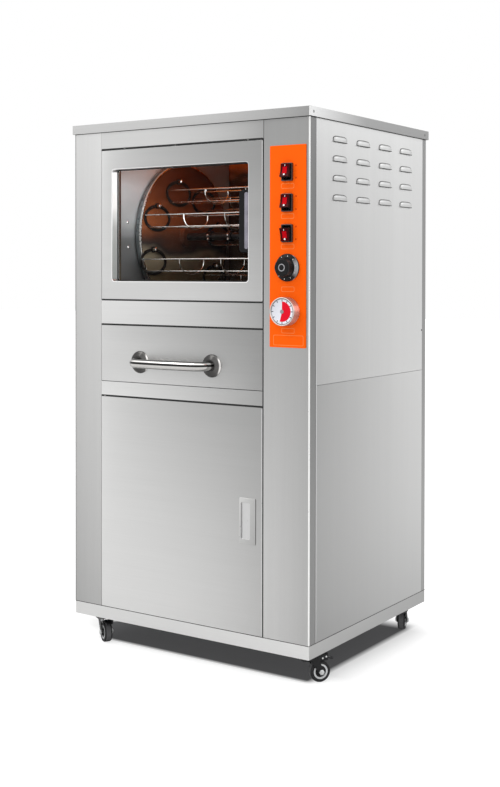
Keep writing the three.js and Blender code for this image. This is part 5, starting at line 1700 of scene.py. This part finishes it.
@dataclass
class Drawer(Assembly):
    """The drawer with its bowed chrome handle."""

    z: Point = (677.0, 816.7)
    # Painted light and shade over the front: lighter on the left, darker to the right.
    tones: Tones = (0.95, 0.5, 0.96, 0.445)
    first: float = -136.7
    spacing: float = 217.6
    height: float = 728.0
    foot: float = -278.2
    reach: float = 43.0
    bow: float = 4.0
    bend: float = 30.0
    bar: float = 11.2
    steps: int = 12
    rosette: float = 27.5
    neck: float = 15.0
    rosette_height: float = 10.0

    def build(self) -> None:
        """Dresses the drawer's front and builds its handle."""
        finish = front_steel("steel_drawer", DOOR_X, self.z, self.tones, ease=2.1, ease_high=0.83)
        self.dress(finish, "drawer_front")
        grip = self.patterns.sweep("handle", [self.path()], self.bar, 28, CHROME)
        fitted("drawer_grip", grip, CHROME, "drawer", ("drawer_handle",), 50.0)
        build = bmesh.new()
        n, r, h = self.neck, self.rosette, self.rosette_height
        sharp = [(0, 0), (r, 0), (r, 1.6), (r - 2.6, 4.6), (n + 3, h - 1.6), (n, h), (0, h)]
        profile = softened(sharp, 1.6, 4)
        for x in (self.first, self.first + self.spacing):
            add_round(build, profile, (x, self.foot, self.height), OUTWARDS, 56)
        fitted("drawer_rosettes", build, ROSETTE, "drawer", (), 50.0)

    def path(self) -> list[Place]:
        """Draws the handle's bar, from rosette to rosette.

        Returns:
            The points.
        """
        leg = self.reach - self.bend
        middle = self.spacing - 2 * self.bend
        near = [(0.0, 0.0), (0.0, leg)]
        for a in turns(0.0, 90.0, self.steps)[1:]:
            near.append((self.bend * (1 - math.cos(a)), leg + self.bend * math.sin(a)))
        bowed = []
        for i in range(1, self.steps):
            t = i / self.steps
            bowed.append((self.bend + middle * t, self.reach + self.bow * math.sin(math.pi * t)))
        far = [(self.spacing - u, v) for u, v in reversed(near)]
        return [(self.first + u, self.foot - v, self.height) for u, v in near + bowed + far]


@dataclass
class Controls(Assembly):
    """The control column: plate, rocker switches, thermostat knob and timer."""

    plate_front: float = -279.4
    centre: float = 293.0
    switch_heights: tuple[float, ...] = (1178.0, 1108.5, 1039.0)
    switch_tilts: tuple[float, ...] = (-12.0, -12.0, 12.0)
    switch_half: Point = (14.5, 20.5)
    switch_back: float = -257.7
    switch_pivot: float = -277.7
    bezel: float = 6.5
    housing_wall: float = 1.4
    rocker_half: float = 15.2
    rocker_rise: float = 18.0
    rocker_dip: float = 2.2
    rocker_width: float = 11.6
    window_half: Point = (8.2, 5.7)
    knob_height: float = 961.0
    knob_marks: int = 10
    timer_height: float = 861.5
    timer_face: float = -303.35
    timer_ticks: int = 12
    dial_foot: float = -279.9
    line: float = 1.3
    boxes: tuple[tuple[Point, Point], ...] = (
        ((275.0, 310.0), (1140.5, 1152.5)),
        ((275.0, 310.0), (1072.0, 1084.0)),
        ((275.0, 310.5), (1003.0, 1015.0)),
        ((276.0, 311.0), (906.0, 918.0)),
        ((276.0, 311.5), (811.5, 823.5)),
        ((254.5, 335.0), (783.5, 807.5)),
    )
    ring_x: float = 314.8
    ring_heights: tuple[float, ...] = (1192.2, 1164.5, 1122.7, 1093.5, 1054.0, 1025.5)

    def build(self) -> None:
        """Builds and dresses everything on the control column."""
        self.dress(ORANGE, "control_plate")
        self.build_print()
        for index in range(len(self.switch_heights)):
            self.build_switch(index)
        self.build_knob()
        self.build_timer()

    def build_print(self) -> None:
        """Prints the plate's plain boxes and rings."""
        build = bmesh.new()
        span = (self.plate_front - 0.12, self.plate_front + 0.05)
        for x, z in self.boxes:
            inner = inset(x, z, (self.line, self.line), 2.2, 4)
            add_plate(build, rounded(x, z, 3, 4), (inner,), span, Face.FRONT)
        fitted("plate_print", build, PRINT, "cabinet")
        rings = bmesh.new()
        for height in self.ring_heights:
            middle = (self.ring_x, height)
            add_plate(rings, circle(middle, 2.0, 20), (circle(middle, 1.0, 20),), span, Face.FRONT)
        fitted("plate_rings", rings, DARK_PRINT, "cabinet")

    def build_switch(self, index: int) -> None:
        """Builds one switch: its housing and what sits on its rocker.

        Args:
            index: Its number from zero.
        """
        height = self.switch_heights[index]
        half_x, half_z = self.switch_half
        x, z = (self.centre - half_x, self.centre + half_x), (height - half_z, height + half_z)
        front, back, wall = self.plate_front, self.switch_back, self.housing_wall
        housing = sheet(rounded(x, z, 2.5, 5), (front - self.bezel, front - 0.1), Face.FRONT, 0.9,
                        (inset(x, z, (2.3, 2.6), 1.2, 3),))
        body = inset(x, z, (wall, wall), 1.0, 2)
        well = inset(x, z, (2 * wall, 2 * wall), 1.0, 2)
        add_plate(housing, body, (well,), (front - 0.2, back), Face.FRONT)
        add_plate(housing, body, (), (back - wall, back), Face.FRONT)
        name = f"switch_{index + 1}"
        fitted(name + "_bezel", housing, BEZEL, "cabinet", (f"switch_housing_{index + 1}",))
        tilt = Matrix.Rotation(math.radians(self.switch_tilts[index]), 4, "X")
        turn = Matrix.Translation((self.centre, self.switch_pivot, height)) @ tilt
        swing = turn @ Matrix(((0, 0, 1, 0), (0, -1, 0, 0), (1, 0, 0, 0), (0, 0, 0, 1)))
        self.build_rocker(name, f"switch_rocker_{index + 1}", swing)

    def build_rocker(self, name: str, body: str, swing: Matrix) -> None:
        """Builds a rocker with its red face, window and marks.

        Args:
            name: How its pieces' names start.
            body: The body that it stands for.
            swing: From its side view to its place.
        """
        half, width = self.rocker_half, self.rocker_width
        side = [(1.2 - half, 0.0), (-7.0, -5.0), (7.0, -5.0), (half - 1.2, 0.0), (half, 3.0)]
        block = bmesh.new()
        self.add_profile(block, side + self.worn_top(-half, half, 0.0) + [(-half, 3.0)], width, swing)
        fitted(name + "_rocker", block, BLACK, body, (body,), 30.0)
        reach, across = self.window_half
        for piece, end, wide, lift, finish in (("face", half, width - 0.5, 0.25, RED),
                                               ("window", reach, across, 0.5, LENS)):
            layer = bmesh.new()
            top = self.worn_top(0.3 - end, end - 0.3, lift)
            under = [(u, v - lift - 0.4) for u, v in reversed(top)]
            self.add_profile(layer, under + top, wide, swing)
            fitted(f"{name}_{piece}", layer, finish, body, (), 30.0)
        marks = bmesh.new()
        line, ring = rounded((-1.9, 1.9), (-0.6, 0.6), 0.3, 2), circle((0, 0), 2.3, 20)
        for place, shape in ((11.0, line), (-10.2, ring)):
            height = self.worn_top(place, place, 0.0)[0][1]
            lift = swing @ Matrix.Translation((place, height + 0.5, 0)) @ Matrix.Rotation(math.pi / 2, 4, "X")
            add_plate(marks, shape, (), (-0.15, 0.15), Face.TOP, 0.0, lift)
        fitted(name + "_marks", marks, WHITE, body)

    def worn_top(self, first: float, last: float, lift: float) -> list[Point]:
        """Draws the hollow top line of a rocker from its last place back to its first.

        Args:
            first: The lower end along the rocker.
            last: The upper end.
            lift: How far above the rocker's own top it runs.

        Returns:
            The line.
        """
        line = []
        for i in range(15):
            u = last + (first - last) * i / 14
            dip = self.rocker_dip * math.cos(math.pi * u / (2 * self.rocker_half))
            line.append((u, self.rocker_rise - dip + lift))
        return line

    def add_profile(self, build: Faces, side: Outline, half: float, turn: Matrix) -> None:
        """Adds a bar with a drawn side view, centred across.

        Args:
            build: Takes the faces.
            side: Its side view.
            half: Half its width.
            turn: Where it goes.
        """
        rows = [[build.verts.new(turn @ Vector((u, v, w))) for u, v in side] for w in (-half, half)]
        build.faces.new(rows[0])
        build.faces.new(list(reversed(rows[1])))
        for i in range(len(side)):
            j = (i + 1) % len(side)
            build.faces.new((rows[0][i], rows[0][j], rows[1][j], rows[1][i]))

    def build_knob(self) -> None:
        """Builds the thermostat knob with its skirt, cap, marks and ring."""
        knob = "thermostat_knob"
        x, z = self.centre, self.knob_height
        place = (x, self.dial_foot, z)
        sharp = [(0, 0.5), (21.8, 0.5), (21.0, 9.0), (20.0, 24.5), (17.5, 26.0), (0, 26.0)]
        cap = turned(softened(sharp, 1.4, 4), place, OUTWARDS, DIAL_ROUND)
        fitted("knob", cap, KNOB, knob, (knob,), 50.0)
        profile = softened([(0, 0), (31.5, 0), (31.5, 3.0), (23.0, 8.4), (0, 8.4)], 0.8, 3)
        cone = turned(profile, place, OUTWARDS, DIAL_ROUND)
        fitted("knob_skirt", cone, SKIRT, knob, (), 40.0)
        unit = world_mesh("tick", sheet(rounded((-1.8, 1.8), (-0.55, 0.55), 0.3, 1), (-0.1, 0.1), Face.TOP))
        marks = self.patterns.around("knob_marks", unit, self.knob_marks, 26.0, math.radians(81),
                                     (x, -287.0, z), Face.FRONT, WHITE)
        fitted("knob_marks", marks, WHITE, knob)
        ring = sheet(circle((x, z), 8.6), (-306.05, -305.85), Face.FRONT, 0.0, (circle((x, z), 6.6),))
        fitted("knob_ring", ring, PALE_GREY, knob)

    def build_timer(self) -> None:
        """Builds the timer with its bezel, white face, ticks, red sector and hub."""
        body = "timer_dial"
        x, z, face = self.centre, self.timer_height, self.timer_face
        profile = softened([(0, 0), (32.5, 0), (32.5, 25.0), (30.0, 25.0), (29.6, 23.2), (0, 23.2)], 0.9, 3)
        can = turned(profile, (x, self.dial_foot, z), OUTWARDS, DIAL_ROUND)
        fitted("timer_can", can, CAN, body, (body,), 45.0)
        dial = sheet(circle((x, z), 29.3), (face, face + 0.35), Face.FRONT)
        fitted("timer_face", dial, DIAL, body)
        # A dark ring of painted shade round the face, under the bezel.
        hole = circle((x, z), 28.3)
        groove = sheet(circle((x, z), 29.4), (face - 0.2, face + 0.05), Face.FRONT, 0.0, (hole,))
        fitted("timer_groove", groove, GREY, body)
        sweep = turns(90.0, -105.0, 40)
        outer = [(x + 23 * math.cos(t), z + 23 * math.sin(t)) for t in sweep]
        inner = [(x + 2 * math.cos(t), z + 2 * math.sin(t)) for t in reversed(sweep)]
        sector = sheet(outer + inner, (face - 0.15, face + 0.05), Face.FRONT)
        fitted("timer_sector", sector, SECTOR, body)
        unit = world_mesh("tick", sheet(rounded((-2.2, 2.2), (-0.9, 0.9), 0.2, 1), (-0.08, 0.08), Face.TOP))
        ticks = self.patterns.around("timer_ticks", unit, self.timer_ticks, 25.5, 0.0, (x, face - 0.1, z),
                                     Face.FRONT, TICK)
        fitted("timer_ticks", ticks, TICK, body)
        cap = softened([(0, 0), (4.6, 0), (4.6, 1.2), (0, 1.2)], 0.5)
        hub = turned(cap, (x, face + 0.05, z), OUTWARDS, 32)
        fitted("timer_hub", hub, HUB, body)


@dataclass
class Casters(Assembly):
    """The four swivel casters; the front two have brake pedals."""

    places: dict[str, Place] = field(default_factory=lambda: {
        "front_right": (309.0, -217.9, 53.6),
        "front_left": (-309.0, -217.9, -33.0),
        "rear_left": (-309.0, 262.1, 118.0),
        "rear_right": (309.0, 262.1, 109.5),
    })
    trail: float = 31.0
    radius: float = 25.0
    width: float = 20.0
    top: float = 68.0
    plate: float = 2.5
    gap: float = 1.5
    tail: float = 12.0
    brake_reach: float = 4.4
    rivets: tuple[Point, ...] = ((4.6, 60.0), (13.5, 57.0))

    def build(self) -> None:
        """Builds the four casters. Each place gives x, y and the turn in degrees."""
        for name, (x, y, degrees) in self.places.items():
            turn = Matrix.Translation((x, y, 0)) @ Matrix.Rotation(math.radians(degrees), 4, "Z")
            self.build_fork(name, turn)
            self.build_wheel(name, turn)
        self.dress(PAINT, "brake_pedal_front_right", "brake_pedal_front_left")

    def build_fork(self, name: str, turn: Matrix) -> None:
        """Builds one fork with its cheeks, swivel race, axle nuts and rivets.

        Args:
            name: The corner that it stands at.
            turn: From the caster's own axes to the part's.
        """
        build = bmesh.new()
        body = f"caster_fork_{name}"
        cheek = self.width / 2 + self.gap
        face = cheek + self.plate
        t, r, top = self.trail, self.radius, self.top
        tail = t + self.tail + (self.brake_reach if name.startswith("front") else -1.0)
        low = [(t + 8 * math.cos(a), r + 8 * math.sin(a)) for a in turns(205.0, 335.0, 10)]
        outline = [(-5.5, top), (-2.0, top - 9), (6.0, 52.0), (14.0, 39.0), (t - 7.6, r + 1.0), *low,
                   (t + 7.0, r + 5.0), (t - 1.0, 43.0), (t - 3.0, 51.5), (tail, 51.0), (tail + 0.01, top)]
        upright = turn @ Matrix(((1, 0, 0, 0), (0, 0, -1, 0), (0, 1, 0, 0), (0, 0, 0, 1)))
        for way in (-1, 1):
            span = sorted((way * cheek, way * face))
            add_plate(build, outline, (), (span[0], span[1]), Face.TOP, 0.5, upright)
        crown = rounded((-6, tail), (-face, face), 3, 4)
        add_plate(build, crown, (circle((0, 0), 10.0, 32),), (top - self.plate, top), Face.TOP, 0.5, turn)
        race = softened([(5.4, 52.0), (14.0, 52.0), (19.0, 57.0), (21.0, 63.0), (21.0, top), (5.4, top)], 0.8)
        add_round(build, race, ORIGIN, UP, 40, turn)
        fitted(f"caster_{name}_fork", build, PAINT, body, (body,), 40.0)
        bright = bmesh.new()
        nut = [(0, -0.5), (6.5, -0.5), (6.5, 2.6), (5.4, 3.4), (0, 3.4)]
        end = softened([(0, 3), (3.2, 3), (3.2, 4.0), (0, 4.0)], 0.3)
        rivet = softened([(0, -0.4), (2.2, -0.4), (2.2, 0.5), (1.1, 1.0), (0, 1.1)], 0.4)
        for way in (-1, 1):
            add_round(bright, nut, (t, way * face, r), (0, way, 0), 6, turn)
            add_round(bright, end, (t, way * face, r), (0, way, 0), 20, turn)
            for back, height in self.rivets:
                add_round(bright, rivet, (tail - back, way * face, height), (0, way, 0), 20, turn)
        axle = [(0, -cheek), (3.8, -cheek), (3.8, cheek), (0, cheek)]
        add_round(bright, axle, (t, 0, r), (0, 1, 0), 20, turn)
        fitted(f"caster_{name}_nuts", bright, NUT, body, (), 25.0)

    def build_wheel(self, name: str, turn: Matrix) -> None:
        """Builds one wheel: tyre, tread, rim and web. Each profile is drawn on one side and mirrored.

        Args:
            name: The corner that it stands at.
            turn: From the caster's own axes to the part's.
        """
        body = f"caster_wheel_{name}"
        half, r = self.width / 2, self.radius
        place = (self.trail, 0.0, r)
        tyre = [(17.0, half - 1.5), (20.5, half), (23.4, half - 0.8), (24.8, half - 3.2)]
        tread = [(24.5, half - 3.6), (24.97, half - 3.9)]
        rim = [(13.2, half - 1.2), (16.2, half - 0.7), (17.3, half - 0.9)]
        web = [(4.4, half - 0.6), (7.5, half - 0.6), (8.5, half - 3.4), (13.4, half - 3.4)]
        crest = [(r, 0.0)]
        for piece, side, middle, steps, finish, instead, smooth in (
                ("tyre", tyre, crest, 64, TYRE, (body,), 40.0),
                ("tread", tread, crest, 64, TREAD, (), 40.0),
                ("rim", rim, [], 64, RIM, (), 35.0),
                ("web", web, [], 48, TYRE, (), 35.0)):
            profile = [(radius, -across) for radius, across in side] + middle + side[::-1]
            wheel = turned(profile, place, (0, 1, 0), steps, turn)
            fitted(f"caster_{name}_{piece}", wheel, finish, body, instead, smooth)


def main() -> None:
    """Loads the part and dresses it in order."""
    logging.basicConfig(level=logging.INFO, format="%(message)s")
    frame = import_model()
    Studio().build()
    patterns = Patterns()
    for kind in (Carcass, LouvredSide, OvenDoor, Chamber, Rotor, LowerDoor, Drawer, Controls, Casters):
        kind(frame, patterns).build()
    bpy.context.view_layer.update()


if __name__ == "__main__":
    main()
